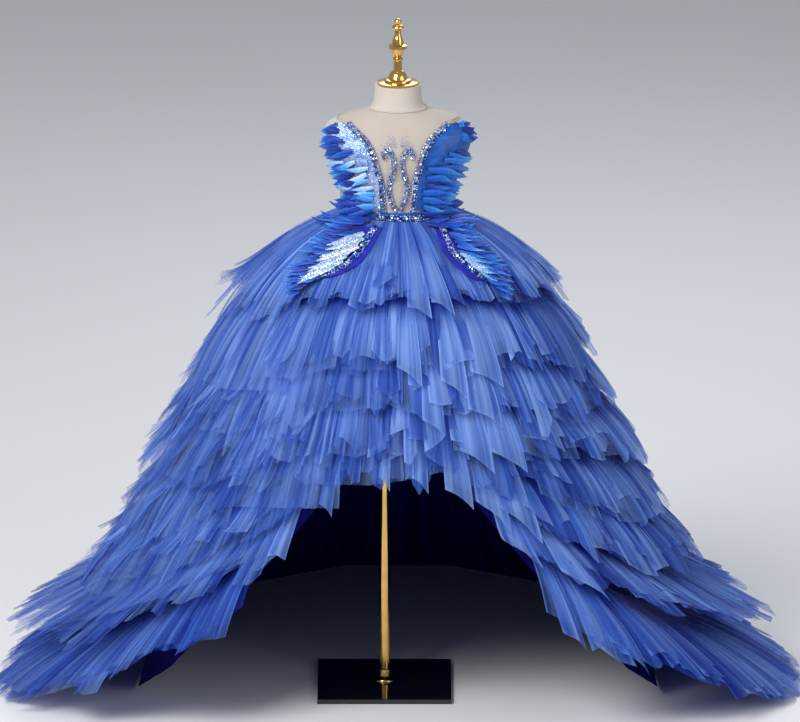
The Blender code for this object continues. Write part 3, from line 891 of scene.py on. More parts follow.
def plain_mesh(name, points, faces, mat, sharp=math.radians(40)):
    """A smooth-shaded mesh from points and faces, with its sharp edges kept."""
    mesh = bpy.data.meshes.new(name)
    mesh.from_pydata([tuple(p) for p in points], [], faces)
    mesh.shade_smooth()
    mesh.set_sharp_from_angle(angle=sharp)
    mesh.materials.append(mat)
    return placed_object(name, mesh)


def turned(name, outline, sides, x, mat):
    """A solid of revolution about an upright axis, from an outline that runs from the top down."""
    points = [(x, 0.0, outline[0][0])]
    for height, radius in outline:
        for side in range(sides):
            angle = math.tau * side / sides
            points.append((x + radius * math.sin(angle), -radius * math.cos(angle), height))
    points.append((x, 0.0, outline[-1][0]))
    faces = []
    for side in range(sides):
        after = (side + 1) % sides
        faces.append((0, 1 + side, 1 + after))
        for ring in range(len(outline) - 1):
            here = 1 + ring * sides
            below = here + sides
            faces.append((here + side, below + side, below + after, here + after))
        here = 1 + (len(outline) - 1) * sides
        faces.append((here + side, len(points) - 1, here + after))
    return plain_mesh(name, points, faces, mat)


def tube(name, line, radius, closed, mat):
    """A round cord through a line of points."""
    curve = bpy.data.curves.new(name, "CURVE")
    curve.dimensions = "3D"
    curve.bevel_depth = radius
    curve.bevel_resolution = 1
    curve.use_fill_caps = not closed
    spline = curve.splines.new("POLY")
    spline.points.add(len(line) - 1)
    spline.use_cyclic_u = closed
    for point, co in zip(spline.points, line):
        point.co = (*co, 1.0)
    source = placed_object(name, curve)
    graph = bpy.context.evaluated_depsgraph_get()
    mesh = bpy.data.meshes.new_from_object(source.evaluated_get(graph))
    bpy.data.objects.remove(source, do_unlink=True)
    mesh.name = name
    if not mesh.uv_layers:
        mesh.uv_layers.new(name="cloth")
    mesh.uv_layers[0].name = "cloth"
    mesh.shade_smooth()
    mesh.materials.clear()
    mesh.materials.append(mat)
    return placed_object(name, mesh)


def repaint(node, mat):
    """Gives a CAD node that stays in the scene its finish."""
    node.data.materials.clear()
    node.data.materials.append(mat)


# Node trees


class Wiring:
    """Adds nodes to a tree, and joins each to what feeds it."""

    def __init__(self, tree):
        self.tree = tree
        tree.nodes.clear()

    def pick(self, sockets, name):
        """A socket by its place or its name."""
        if isinstance(name, int):
            return sockets[name]
        for socket in sockets:
            if socket.enabled and socket.name.lower() == name:
                return socket
        raise KeyError(name)

    def feed(self, node, name, value):
        """Joins a node or a socket to an input, or sets the input's value."""
        socket = self.pick(node.inputs, name)
        if isinstance(value, bpy.types.Node):
            value = next(out for out in value.outputs if out.enabled)
        if isinstance(value, bpy.types.NodeSocket):
            self.tree.links.new(value, socket)
        else:
            socket.default_value = value

    def add(self, kind, settings=(), at=(), **named):
        """A node with its settings, and inputs given by place or by name."""
        node = self.tree.nodes.new(kind)
        for key, value in dict(settings).items():
            setattr(node, key, value)
        for place, value in dict(at).items():
            self.feed(node, place, value)
        for key, value in named.items():
            self.feed(node, key.replace("_", " "), value)
        return node

    def sum(self, operation, a, b=0.0, clamp=False):
        """A Math node."""
        settings = {"operation": operation, "use_clamp": clamp}
        return self.add("ShaderNodeMath", settings, at={0: a, 1: b})

    def weigh(self, *parts):
        """The sum of (value, weight) parts."""
        total = None
        for value, weight in parts:
            part = self.sum("MULTIPLY", value, weight)
            total = part if total is None else self.sum("ADD", total, part)
        return total

    def ramp(self, factor, *stops):
        """A Color Ramp from (place, colour) stops."""
        node = self.add("ShaderNodeValToRGB", at={0: factor})
        elements = node.color_ramp.elements
        while len(elements) < len(stops):
            elements.new(0.5)
        for element, (place, colour) in zip(elements, stops):
            element.position = place
            element.color = (*colour, 1.0)
        return node

    def value(self, name):
        """A mesh attribute as a number."""
        node = self.add("ShaderNodeAttribute", {"attribute_name": name})
        return node.outputs["Fac"]

    def noise(self, vector, scale, detail, roughness, stretch=(1.0, 1.0, 1.0)):
        """A Noise texture, stretched along its coordinates."""
        placed = self.add("ShaderNodeMapping", vector=vector, scale=stretch)
        sizes = {"scale": scale, "detail": detail, "roughness": roughness}
        return self.add("ShaderNodeTexNoise", vector=placed, **sizes).outputs["Fac"]

    def cells(self, vector, count, feature="F1"):
        """A flat Voronoi texture with this many cells for a metre of cloth."""
        placed = self.add("ShaderNodeMapping", vector=vector, scale=(count, count, 1.0))
        settings = {"feature": feature, "voronoi_dimensions": "2D"}
        return self.add("ShaderNodeTexVoronoi", settings, vector=placed, scale=1.0)

    def bump(self, height, distance, strength=1.0, under=None):
        """A Bump node, over another one where that is given."""
        node = self.add("ShaderNodeBump", height=height, distance=distance, strength=strength)
        if under is not None:
            self.feed(node, "normal", under)
        return node


def new_material(name):
    """A material with an empty tree."""
    mat = bpy.data.materials.new(name)
    mat.use_nodes = True
    return mat, Wiring(mat.node_tree)


def surface(wires, shader):
    """Joins a shader to the material's output."""
    wires.add("ShaderNodeOutputMaterial", at={0: shader})


def principled(wires, **looks):
    """Ends a material with one Principled surface."""
    surface(wires, wires.add("ShaderNodeBsdfPrincipled", **looks))


def shade(colour, share, more=0.0):
    """A lighter or darker shade of a colour."""
    return tuple(min(c * share + more, 1.0) for c in colour)


def uv_node(wires):
    """The cloth coordinates: metres round and down the piece."""
    return wires.add("ShaderNodeUVMap", {"uv_map": "cloth"})


def object_node(wires):
    """The object's own coordinates."""
    return wires.add("ShaderNodeTexCoord").outputs["Object"]


def tulle_material(name, tulle, thin, glow):
    """Gathered tulle: fine streaks along the folds, sheer at the hems, net in the bump."""
    mat, wires = new_material(name)
    uv = uv_node(wires)
    streak = wires.noise(uv, 1.0, 4.0, 0.6, (85.0, 1.4, 1.0))
    thread = wires.noise(uv, 1.0, 2.0, 0.5, (420.0, 3.0, 1.0))
    cloud = wires.noise(uv, 9.0, 2.0, 0.5, (1.0, 0.6, 1.0))
    # The level picks the colour between the deep and the light one. Besides the streaks, threads and
    # clouds it reads painted light: the fold value is painted shade in troughs and under the tier
    # above, the tone value adds painted shade on the lower tiers to each piece's own tone, and the
    # edge value is a painted highlight along strip edges and hems.
    edge = wires.sum("POWER", wires.value("edge"), 3.0)
    level = wires.weigh(
        (streak, 0.62),
        (thread, 0.22),
        (cloud, 0.20),
        (wires.value("fold"), 0.16),
        (wires.value("tone"), 0.24),
        (edge, 0.26),
    )
    colour = wires.ramp(level, (0.30, tulle.deep), (0.56, tulle.mid), (0.86, tulle.light))
    cover = wires.sum("ADD", wires.value("cover"), wires.weigh((streak, thin), (edge, 0.22)))
    cover = wires.sum("SUBTRACT", cover, thin * 0.5, clamp=True)
    net = wires.cells(uv, 650.0, "DISTANCE_TO_EDGE")
    net_bump = wires.bump(net.outputs["Distance"], 0.0003, 0.35)
    pleats = wires.bump(streak, 0.0035, 0.8, net_bump)
    cloth = wires.add(
        "ShaderNodeBsdfPrincipled",
        base_color=colour,
        roughness=0.78,
        specular_ior_level=0.2,
        sheen_weight=0.14,
        sheen_roughness=0.4,
        normal=pleats,
    )
    lit = wires.add("ShaderNodeBsdfTranslucent", color=colour, normal=pleats)
    body = wires.add("ShaderNodeMixShader", at={0: glow, 1: cloth, 2: lit})
    clear = wires.add("ShaderNodeBsdfTransparent")
    surface(wires, wires.add("ShaderNodeMixShader", at={0: cover, 1: clear, 2: body}))
    return mat


def lining_material(name, colour):
    """Dark stiff net with soft vertical shades."""
    mat, wires = new_material(name)
    streak = wires.noise(uv_node(wires), 1.0, 3.0, 0.6, (60.0, 1.2, 1.0))
    principled(
        wires,
        base_color=wires.ramp(streak, (0.35, colour), (0.75, shade(colour, 3.0))),
        roughness=0.85,
        specular_ior_level=0.1,
        sheen_weight=0.02,
        normal=wires.bump(streak, 0.003, 0.6),
    )
    return mat


def satin_material(name, colour, roughness=0.34):
    """Satin: a fine twill in the bump and a soft broken gloss."""
    mat, wires = new_material(name)
    uv = uv_node(wires)
    weave = wires.noise(uv, 1.0, 1.0, 0.5, (2400.0, 600.0, 1.0))
    cloud = wires.noise(uv, 40.0, 3.0, 0.6)
    dark = shade(colour, 0.62)
    pale = shade(colour, 1.5, 0.02)
    principled(
        wires,
        base_color=wires.ramp(cloud, (0.30, dark), (0.55, colour), (0.80, pale)),
        roughness=roughness,
        specular_ior_level=0.35,
        sheen_weight=0.12,
        normal=wires.bump(weave, 0.00012, 0.6, wires.bump(cloud, 0.0012, 0.5)),
    )
    return mat


def feather_material(name):
    """Cut satin feathers: barbs that run off a spine, from navy to sky and white by tint."""
    mat, wires = new_material(name)
    parts = wires.add("ShaderNodeSeparateXYZ", vector=uv_node(wires))
    side = wires.sum("ABSOLUTE", parts.outputs[0])
    slant = wires.sum("SUBTRACT", parts.outputs[1], wires.sum("MULTIPLY", side, 0.9))
    barb_place = wires.add("ShaderNodeCombineXYZ", at={0: side, 1: slant})
    barbs = wires.noise(barb_place, 1.0, 2.0, 0.6, (60.0, 1500.0, 1.0))
    wide = wires.noise(barb_place, 1.0, 2.0, 0.5, (40.0, 260.0, 1.0))
    tint = wires.sum("ADD", wires.value("tint"), wires.weigh((wide, 0.36), (barbs, 0.16)))
    tint = wires.sum("SUBTRACT", tint, 0.26, clamp=True)
    principled(
        wires,
        base_color=wires.ramp(tint, *FEATHER_STOPS),
        roughness=0.38,
        specular_ior_level=0.28,
        sheen_weight=0.12,
        normal=wires.bump(barbs, 0.0005, 0.8),
    )
    return mat


def sequin_cloth_material(name, low, high):
    """Cloth that is closely sewn with tiny sequins, each cell in its own shade and tilt."""
    mat, wires = new_material(name)
    uv = uv_node(wires)
    cells = wires.cells(uv, 620.0)
    parts = wires.add("ShaderNodeSeparateColor", color=cells.outputs["Color"])
    patch = wires.noise(uv, 55.0, 2.0, 0.6)
    level = wires.weigh((parts.outputs[0], 0.45), (wires.value("tint"), 0.5))
    level = wires.sum("ADD", level, patch)
    between = tuple(mix(a, b, 0.5) for a, b in zip(low, high))
    principled(
        wires,
        base_color=wires.ramp(level, (0.45, low), (0.75, between), (1.10 / 1.2, high)),
        metallic=0.35,
        roughness=0.26,
        normal=wires.bump(cells.outputs["Distance"], 0.0005, 0.9),
    )
    return mat


def net_material(name, colour):
    """Sheer nude illusion net over the form."""
    mat, wires = new_material(name)
    cells = wires.cells(uv_node(wires), 800.0, "DISTANCE_TO_EDGE")
    thread = wires.sum("LESS_THAN", cells.outputs["Distance"], 0.12)
    principled(
        wires,
        base_color=(*colour, 1.0),
        roughness=0.7,
        sheen_weight=0.4,
        alpha=wires.sum("ADD", wires.sum("MULTIPLY", thread, 0.55), 0.18),
    )
    return mat


def linen_material(name, colour):
    """The form's cover: plain woven linen with slubs."""
    mat, wires = new_material(name)
    place = object_node(wires)
    across = wires.noise(place, 1.0, 2.0, 0.6, (300.0, 300.0, 2600.0))
    down = wires.noise(place, 1.0, 2.0, 0.6, (2600.0, 2600.0, 300.0))
    cloud = wires.noise(place, 14.0, 3.0, 0.5)
    weave = wires.sum("ADD", across, down)
    slubs = wires.weigh((weave, 0.35), (cloud, 0.4))
    principled(
        wires,
        base_color=wires.ramp(slubs, (0.30, shade(colour, 0.86)), (0.75, shade(colour, 1.1))),
        roughness=0.85,
        sheen_weight=0.2,
        normal=wires.bump(weave, 0.0003, 0.5),
    )
    return mat


def metal_material(name, colour, roughness=0.14):
    """Polished plating with faint wiping marks."""
    mat, wires = new_material(name)
    place = object_node(wires)
    marks = wires.noise(place, 1.0, 3.0, 0.6, (60.0, 60.0, 900.0))
    cloud = wires.noise(place, 30.0, 2.0, 0.5)
    principled(
        wires,
        base_color=wires.ramp(cloud, (0.3, shade(colour, 0.86)), (0.7, shade(colour, 1.08))),
        metallic=1.0,
        roughness=wires.sum("ADD", wires.sum("MULTIPLY", marks, 0.12), roughness - 0.06),
    )
    return mat


def gloss_material(name, colour):
    """Black mirror gloss with light dust and wiping marks."""
    mat, wires = new_material(name)
    dust = wires.noise(object_node(wires), 90.0, 4.0, 0.7)
    principled(
        wires,
        base_color=wires.ramp(dust, (0.55, colour), (0.95, shade(colour, 1.0, 0.03))),
        roughness=wires.sum("ADD", wires.sum("MULTIPLY", dust, 0.10), 0.01),
        coat_weight=0.6,
        coat_roughness=0.03,
    )
    return mat


def bead_material(name, stops, metallic, roughness):
    """Faceted glass and foil: each bead has its own shade."""
    mat, wires = new_material(name)
    glitter = wires.noise(object_node(wires), 900.0, 1.0, 0.5)
    principled(
        wires,
        base_color=wires.ramp(wires.value("shade"), *stops),
        metallic=metallic,
        roughness=wires.sum("ADD", wires.sum("MULTIPLY", glitter, 0.08), roughness),
        coat_weight=0.5,
        coat_roughness=0.04,
    )
    return mat


# Geometry node trees


def node_group(name, **inputs):
    """A geometry tree with a mesh in and out, and named inputs. Returns tree, wiring, inputs, keys."""
    tree = bpy.data.node_groups.new(name, "GeometryNodeTree")
    wires = Wiring(tree)
    tree.interface.new_socket("Geometry", in_out="INPUT", socket_type="NodeSocketGeometry")
    keys = {}
    for label, kind in inputs.items():
        socket = tree.interface.new_socket(label, in_out="INPUT", socket_type=f"NodeSocket{kind}")
        keys[label] = socket.identifier
    tree.interface.new_socket("Geometry", in_out="OUTPUT", socket_type="NodeSocketGeometry")
    return tree, wires, wires.add("NodeGroupInput").outputs, keys


def spaced_points(wires, given):
    """Evenly spaced points along the lines that come in."""
    line = wires.add("GeometryNodeMeshToCurve", mesh=given["Geometry"])
    settings = {"mode": "LENGTH"}
    return wires.add("GeometryNodeResampleCurve", settings, curve=line, length=given["Spacing"])


def random_turn(wires, given, low, high):
    """A random rotation for each point, between two sets of angles."""
    settings = {"data_type": "FLOAT_VECTOR"}
    angles = wires.add("FunctionNodeRandomValue", settings, min=low, max=high, seed=given["Seed"])
    return wires.add("FunctionNodeEulerToRotation", euler=angles)


def shaded(wires, given, placed):
    """Gives each placed shape a random shade."""
    level = wires.add("FunctionNodeRandomValue", min=0.0, max=1.0, seed=given["Seed"])
    settings = {"data_type": "FLOAT", "domain": "INSTANCE"}
    looks = {"geometry": placed, "name": "shade", "value": level}
    return wires.add("GeometryNodeStoreNamedAttribute", settings, **looks)


def end_tree(wires, given, placed):
    """Makes the placed shapes real and gives them their finish."""
    whole = wires.add("GeometryNodeRealizeInstances", geometry=placed)
    done = wires.add("GeometryNodeSetMaterial", geometry=whole, material=given["Finish"])
    wires.add("NodeGroupOutput", at={0: done})


def bead_tree():
    """Beads threaded on a line: even spacing, a small spread of sizes, and a shade for each."""
    tree, wires, given, keys = node_group(
        "bead rope",
        Spacing="Float",
        Radius="Float",
        Seed="Int",
        Finish="Material",
    )
    size = wires.add("FunctionNodeRandomValue", min=0.86, max=1.10, seed=given["Seed"])
    placed = wires.add(
        "GeometryNodeInstanceOnPoints",
        points=spaced_points(wires, given),
        instance=wires.add("GeometryNodeMeshIcoSphere", radius=1.0, subdivisions=1),
        rotation=random_turn(wires, given, (0.0, 0.0, 0.0), (6.28, 6.28, 6.28)),
        scale=wires.sum("MULTIPLY", size, given["Radius"]),
    )
    end_tree(wires, given, shaded(wires, given, placed))
    return tree, keys


def sequin_tree():
    """Sequins scattered over a cloth: small discs that lie on it, each a little tilted."""
    tree, wires, given, keys = node_group(
        "sequins",
        Density="Float",
        Radius="Float",
        Lift="Float",
        Seed="Int",
        Finish="Material",
    )
    part = wires.add("GeometryNodeInputNamedAttribute", {"data_type": "FLOAT"}, name="sequin")
    spots = wires.add(
        "GeometryNodeDistributePointsOnFaces",
        mesh=given["Geometry"],
        density=wires.sum("MULTIPLY", part.outputs["Attribute"], given["Density"]),
        seed=given["Seed"],
    )
    lift = wires.add(
        "ShaderNodeVectorMath",
        {"operation": "SCALE"},
        at={0: spots.outputs["Normal"], 3: given["Lift"]},
    )
    tilted = wires.add(
        "FunctionNodeRotateRotation",
        {"rotation_space": "LOCAL"},
        rotation=spots.outputs["Rotation"],
        rotate_by=random_turn(wires, given, (-0.35, -0.35, 0.0), (0.35, 0.35, 1.0)),
    )
    placed = wires.add(
        "GeometryNodeInstanceOnPoints",
        points=wires.add("GeometryNodeSetPosition", geometry=spots.outputs["Points"], offset=lift),
        instance=wires.add("GeometryNodeMeshCircle", {"fill_type": "NGON"}, vertices=6, radius=1.0),
        rotation=tilted,
        scale=given["Radius"],
    )
    end_tree(wires, given, shaded(wires, given, placed))
    return tree, keys


def stitch_tree():
    """Machine stitches along a line: short thread bars, end to end with a gap."""
    tree, wires, given, keys = node_group(
        "stitches",
        Spacing="Float",
        Thread="Float",
        Finish="Material",
    )
    tangent = wires.add("GeometryNodeInputTangent")
    long = wires.sum("MULTIPLY", given["Spacing"], 0.38)
    sizes = {0: long, 1: given["Thread"], 2: given["Thread"]}
    placed = wires.add(
        "GeometryNodeInstanceOnPoints",
        points=spaced_points(wires, given),
        instance=wires.add("GeometryNodeMeshIcoSphere", radius=1.0, subdivisions=1),
        rotation=wires.add("FunctionNodeAlignRotationToVector", {"axis": "X"}, vector=tangent),
        scale=wires.add("ShaderNodeCombineXYZ", at=sizes),
    )
    end_tree(wires, given, placed)
    return tree, keys


def grow(source, tree, keys, **values):
    """Runs a geometry tree on a source object, and returns its result as a plain mesh."""
    modifier = source.modifiers.new("grow", "NODES")
    modifier.node_group = tree
    for label, value in values.items():
        modifier[keys[label]] = value
    graph = bpy.context.evaluated_depsgraph_get()
    mesh = bpy.data.meshes.new_from_object(source.evaluated_get(graph))
    source.modifiers.remove(modifier)
    return mesh


def grow_along(lines, tree, keys, **values):
    """Runs a geometry tree on open lines of points."""
    points = []
    edges = []
    for line in lines:
        start = len(points)
        points.extend(tuple(p) for p in line)
        edges.extend((start + i, start + i + 1) for i in range(len(line) - 1))
    path = bpy.data.meshes.new("path")
    path.from_pydata(points, edges, [])
    source = placed_object("path", path)
    mesh = grow(source, tree, keys, **values)
    bpy.data.objects.remove(source, do_unlink=True)
    return mesh


def grown_piece(name, meshes, mat):
    """One plain piece from grown meshes."""
    whole = bpy.data.meshes.new(name)
    points = []
    faces = []
    shades = []
    for mesh in meshes:
        start = len(points)
        points.extend(tuple(vertex.co) for vertex in mesh.vertices)
        faces.extend(tuple(start + i for i in face.vertices) for face in mesh.polygons)
        found = mesh.attributes.get("shade")
        shades.extend([item.value for item in found.data] if found else [0.5] * len(mesh.vertices))
        bpy.data.meshes.remove(mesh)
    whole.from_pydata(points, [], faces)
    attribute = whole.attributes.new("shade", "FLOAT", "POINT")
    attribute.data.foreach_set("value", shades)
    whole.materials.append(mat)
    return placed_object(name, whole)


def thread_beads(name, node, centre, sides, bead, seed):
    """A bead edge: large beads on the middle line, small ones beside it, and seed beads outside."""
    tree, keys = bead_tree()
    mat = bead_material(f"{name} glass", BEAD_STOPS, 0.55, 0.06)
    meshes = []
    for index, (line, (spacing, radius)) in enumerate(zip([centre, *sides], BEAD_ROWS)):
        sizes = {"Spacing": spacing * bead, "Radius": radius * bead}
        meshes.append(grow_along([line], tree, keys, Seed=seed + index, Finish=mat, **sizes))
    return seat(grown_piece(name, meshes, mat), "beads", node)


def sew_sequins(name, cloth_piece, density, radius, seed):
    """Sequins over a cloth piece, where its sequin value says so."""
    tree, keys = sequin_tree()
    mat = bead_material(f"{name} foil", SEQUIN_STOPS, 0.75, 0.16)
    sizes = {"Density": density, "Radius": radius, "Lift": 0.0007}
    mesh = grow(cloth_piece, tree, keys, Seed=seed, Finish=mat, **sizes)
    return seat(grown_piece(name, [mesh], mat), "feather")


# Feathers


def feather(cloth, place, root, tip, half, lift, curl, tint, tip_tint, seed, blunt=0.0):
    """One cut feather from root to tip on a surface.

    place turns a spot on the surface and a height over it into a point. lift is the height at the
    root and at the tip, curl turns the end up, and blunt rounds it.
    """
    rows = 13
    columns = 6
    spots = [[mix(a, b, i / rows) for a, b in zip(root, tip)] for i in range(rows + 1)]
    line = [place(spot, 0.0) for spot in spots]
    away = [(place(spot, 0.004) - point).normalized() for spot, point in zip(spots, line)]
    length = sum((b - a).length for a, b in zip(line, line[1:]))
    grid = []
    coords = []
    tints = []
    sequins = []
    bend = 0.0012 * scatter(seed, 3) + 0.10 * length * scatter(seed, 4)
    for i in range(rows + 1):
        along = i / rows
        before = line[max(i - 1, 0)]
        after = line[min(i + 1, rows)]
        across = (after - before).cross(away[i]).normalized()
        shape = math.sin(math.pi * min(along * 0.72 + 0.16, 1.0)) ** 0.8
        end = (1.0 - along) ** 0.55 if along > 0.55 else 0.45**0.55
        width = half * shape * min(end / 0.45**0.55, 1.0)
        width = max(width, half * blunt * math.sqrt(max(1.0 - along**8, 0.0)) * shape)
        ragged = 1.0 + 0.16 * scatter(seed + i, 7) * (1 if along > 0.3 else 0)
        rise = mix(lift[0], lift[1], along**1.2) + curl * along**4
        row = []
        coord_row = []
        tint_row = []
        for j in range(columns + 1):
            u = 2.0 * j / columns - 1.0
            out = rise + 0.30 * half * (1.0 - u * u) * (0.4 + 0.6 * shape)
            sway = bend * math.sin(math.pi * along * 0.9) ** 2
            row.append(line[i] + across * (u * width * ragged + sway) + away[i] * out)
            coord_row.append((u * width, along * length))
            rim = 0.16 * abs(u) ** 5 * (1.0 - along**3)
            tint_row.append(mix(tint, tip_tint, along**1.6) - 0.10 * (1.0 - abs(u)) ** 4 - rim)
        grid.append(row)
        coords.append(coord_row)
        tints.append(tint_row)
        sequins.append([1.0 if tint > 0.7 else 0.0] * (columns + 1))
    cloth.grid(grid, coords, facing=away[rows // 2], tint=tints, sequin=sequins)


# Operators


def tell(operator, pieces):
    """Reports what an operator made, and fails if it made nothing."""
    if not pieces:
        raise RuntimeError(f"{operator.bl_label} made nothing")
    operator.report({"INFO"}, f"{operator.bl_label}: {len(pieces)} pieces")
    return {"FINISHED"}


class GOWN_OT_stand(Operator):
    """Adds the gold pole, flange and finial, and finishes the base plate"""

    bl_idname = "gown.stand"
    bl_label = "Stand"

    def execute(self, context):
        look = context.scene.gown_stand
        gold = metal_material("polished gold", look.gold)
        pieces = []
        flange = [(PLATE_TOP_Z + height, radius) for height, radius in FLANGE]
        piece = turned("flange_turned", flange, look.sides, 0.0, gold)
        pieces.append(seat(piece, "gold", "base_flange"))
        low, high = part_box("pole")
        pole = ((high.z, POLE_RADIUS), (low.z, POLE_RADIUS))
        piece = turned("pole_tube", pole, look.sides, 0.0, gold)
        pieces.append(seat(piece, "gold", "pole"))
        outline = []
        for (z0, r0), (z1, r1) in zip(FINIAL, FINIAL[1:]):
            outline.append((z0, r0))
            outline.append((mix(z0, z1, 0.5), mix(r0, r1, 0.5) + 0.08 * abs(r1 - r0)))
        outline.append(FINIAL[-1])
        piece = turned("finial_turned", outline, look.sides, FORM_X, gold)
        pieces.append(seat(piece, "gold", "finial"))
        repaint(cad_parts["base_plate"], gloss_material("black gloss", look.plate))
        return tell(self, pieces)


class GOWN_OT_form(Operator):
    """Adds the linen covered torso with its neck"""

    bl_idname = "gown.form"
    bl_label = "Dress form"

    def execute(self, context):
        look = context.scene.gown_stand
        rows = 84
        columns = 120
        low = TORSO[0][0]
        points = []
        for row in range(rows + 1):
            height = low + (NECK_TOP_Z - low) * row / rows
            for column in range(columns):
                points.append(torso_point(height, math.tau * column / columns))
        faces = []
        for row in range(rows):
            for column in range(columns):
                after = (column + 1) % columns
                here = row * columns
                above = here + columns
                faces.append((here + column, here + after, above + after, above + column))
        faces.append(tuple(reversed(range(columns))))
        faces.append(tuple(range(len(points) - columns, len(points))))
        mat = linen_material("cream linen", look.linen)
        piece = plain_mesh("torso_linen", points, faces, mat)
        return tell(self, [seat(piece, "form", "form_torso")])


def net_cloth(first, last, columns):
    """The cloth of a bodice piece between two turns that are given for each height."""

    def spot(down, along):
        height = mix(NECK_EDGE_Z, WAIST_Z, down)
        turn = mix(first(height), last(height), along)
        return torso_point(height, turn, net_ease(height)), (turn * BODICE_TURN, height)

    cloth = Cloth()
    cloth.grid(*woven(52, columns, spot))
    return cloth


class GOWN_OT_bodice(Operator):
    """Adds the nude net bodice, its bound edges, the zip and the satin waistband"""

    bl_idname = "gown.bodice"
    bl_label = "Net bodice"

    def execute(self, context):
        look = context.scene.gown_bodice
        net = net_material("nude illusion net", look.net)
        back = math.pi - 0.002
        right = net_cloth(lambda z: math.pi - side_turn(z), lambda z: back, 18)
        left = net_cloth(lambda z: -back, lambda z: side_turn(z) - math.pi, 18)
        parts = (
            ("front", net_cloth(lambda z: -side_turn(z), side_turn, 36)),
            ("back_right", right),
            ("back_left", left),
        )
        pieces = []
        for name, cloth in parts:
            piece = seat(cloth.make(f"net_{name}", net), "nude_net", f"bodice_{name}")
            pieces.append(lay(piece, cloth, NET_LENGTH, NET_SEAMS))
        pieces += self.edges(look)
        pieces += self.zip(look)
        pieces.append(self.band(look))
        return tell(self, pieces)

    def edges(self, look):
        """The rolled binding round the neck and the armholes."""
        mat = satin_material("bound edge", look.net, 0.6)
        neck = [torso_point(NECK_EDGE_Z, math.tau * i / 96, 0.0014) for i in range(96)]
        pieces = [seat(tube("neck_binding", neck, BINDING_RADIUS, True, mat), "nude_net")]
        for name, side in SIDES:
            front = []
            back = []
            for step in range(25):
                height = mix(ARMHOLE_LOW_Z, ARMHOLE_TOP_Z, step / 24)
                out = net_ease(height) + 0.0006
                front.append(torso_point(height, side * side_turn(height), out))
                back.append(torso_point(height, side * (math.pi - side_turn(height)), out))
            line = front + list(reversed(back[:-1]))
            piece = tube(f"armhole_binding_{name}", line, BINDING_RADIUS, False, mat)
            pieces.append(seat(piece, "nude_net"))
        return pieces

    def zip(self, look):
        """The zip's tape with its stitching, and the pull on its slider."""

        def spot(down, along):
            height = mix(ZIP_TOP_Z, BAND_TOP_Z + 0.002, down)
            across = 1.0 - 2.0 * along
            ridge = 0.0006 * math.exp(-((across * 4) ** 2))
            point = torso_point(height, math.pi, net_ease(height) + NET + GAP + 0.0004 + ridge)
            x = across * ZIP_HALF
            return Vector((FORM_X + x, point.y, point.z)), (x, height)

        rows, coords = woven(30, 8, spot)
        tape = Cloth()
        tape.grid(rows, coords)
        mat = satin_material("zip tape", look.net, 0.55)
        piece = seat(tape.make("zip_tape", mat), "nude_net", "back_zip")
        thread = satin_material("zip thread", look.net, 0.5)
        lines = [[row[i] + Vector((0, 0.0004, 0)) for row in rows] for i in (1, 7)]
        tree, keys = stitch_tree()
        mesh = grow_along(lines, tree, keys, Spacing=0.0028, Thread=0.00028, Finish=thread)
        stitches = seat(grown_piece("zip_stitches", [mesh], thread), "nude_net")
        steel = metal_material("zip metal", ZIP_METAL, 0.22)
        repaint(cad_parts["zip_slider"], steel)
        low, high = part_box("zip_slider")
        loop = []
        for step in range(12):
            angle = math.pi * (1.0 + step / 6)
            drop = 0.008 + 0.006 * math.cos(angle)
            x = FORM_X + 0.0022 * math.sin(angle)
            loop.append(Vector((x, high.y + 0.0012, low.z + 0.006 - drop)))
        pull = seat(tube("zip_pull", loop, 0.0006, True, steel), "gold")
        return [piece, stitches, pull]

    def band(self, look):
        """The satin waistband with its rolled edges."""

        def spot(down, along):
            height = mix(BAND_TOP_Z, WAIST_Z, down)
            turn = math.tau * along
            roll = 0.0009 * math.sin(math.pi * down)
            ruck = 0.0002 * math.sin(31 * turn + 2 * math.sin(7 * turn))
            point = torso_point(height, turn, BODICE_EASE + NET + GAP + roll + ruck)
            return point, (turn * WAIST_TURN, height)

        rows, coords = woven(8, 120, spot)
        cloth = Cloth()
        cloth.grid([row[:-1] for row in rows], coords, closed=True)
        mat = satin_material("waistband satin", look.satin)
        piece = seat(cloth.make("waistband_satin", mat), "cobalt", "waistband")
        return piece


def bodice_place(side):
    """Turns a spot of a feather panel, as turn and height, into a point over the net."""
    rest = BODICE_EASE + ARMHOLE_EASE + NET + PANEL_EASE

    def place(spot, out):
        return torso_point(spot[1], side * math.radians(spot[0]), rest + out)

    return place


def bodice_spot(row, along):
    """A spot of a panel between a row's root and tip, and the row's stand-off."""
    x, z, turn, tip_z, stand = at_row(BODICE_FEATHERS, row)
    root = math.degrees(turn_at(z, x + 2 * ROPE_RADIUS))
    return (mix(root, turn, along), mix(z, tip_z, along)), stand


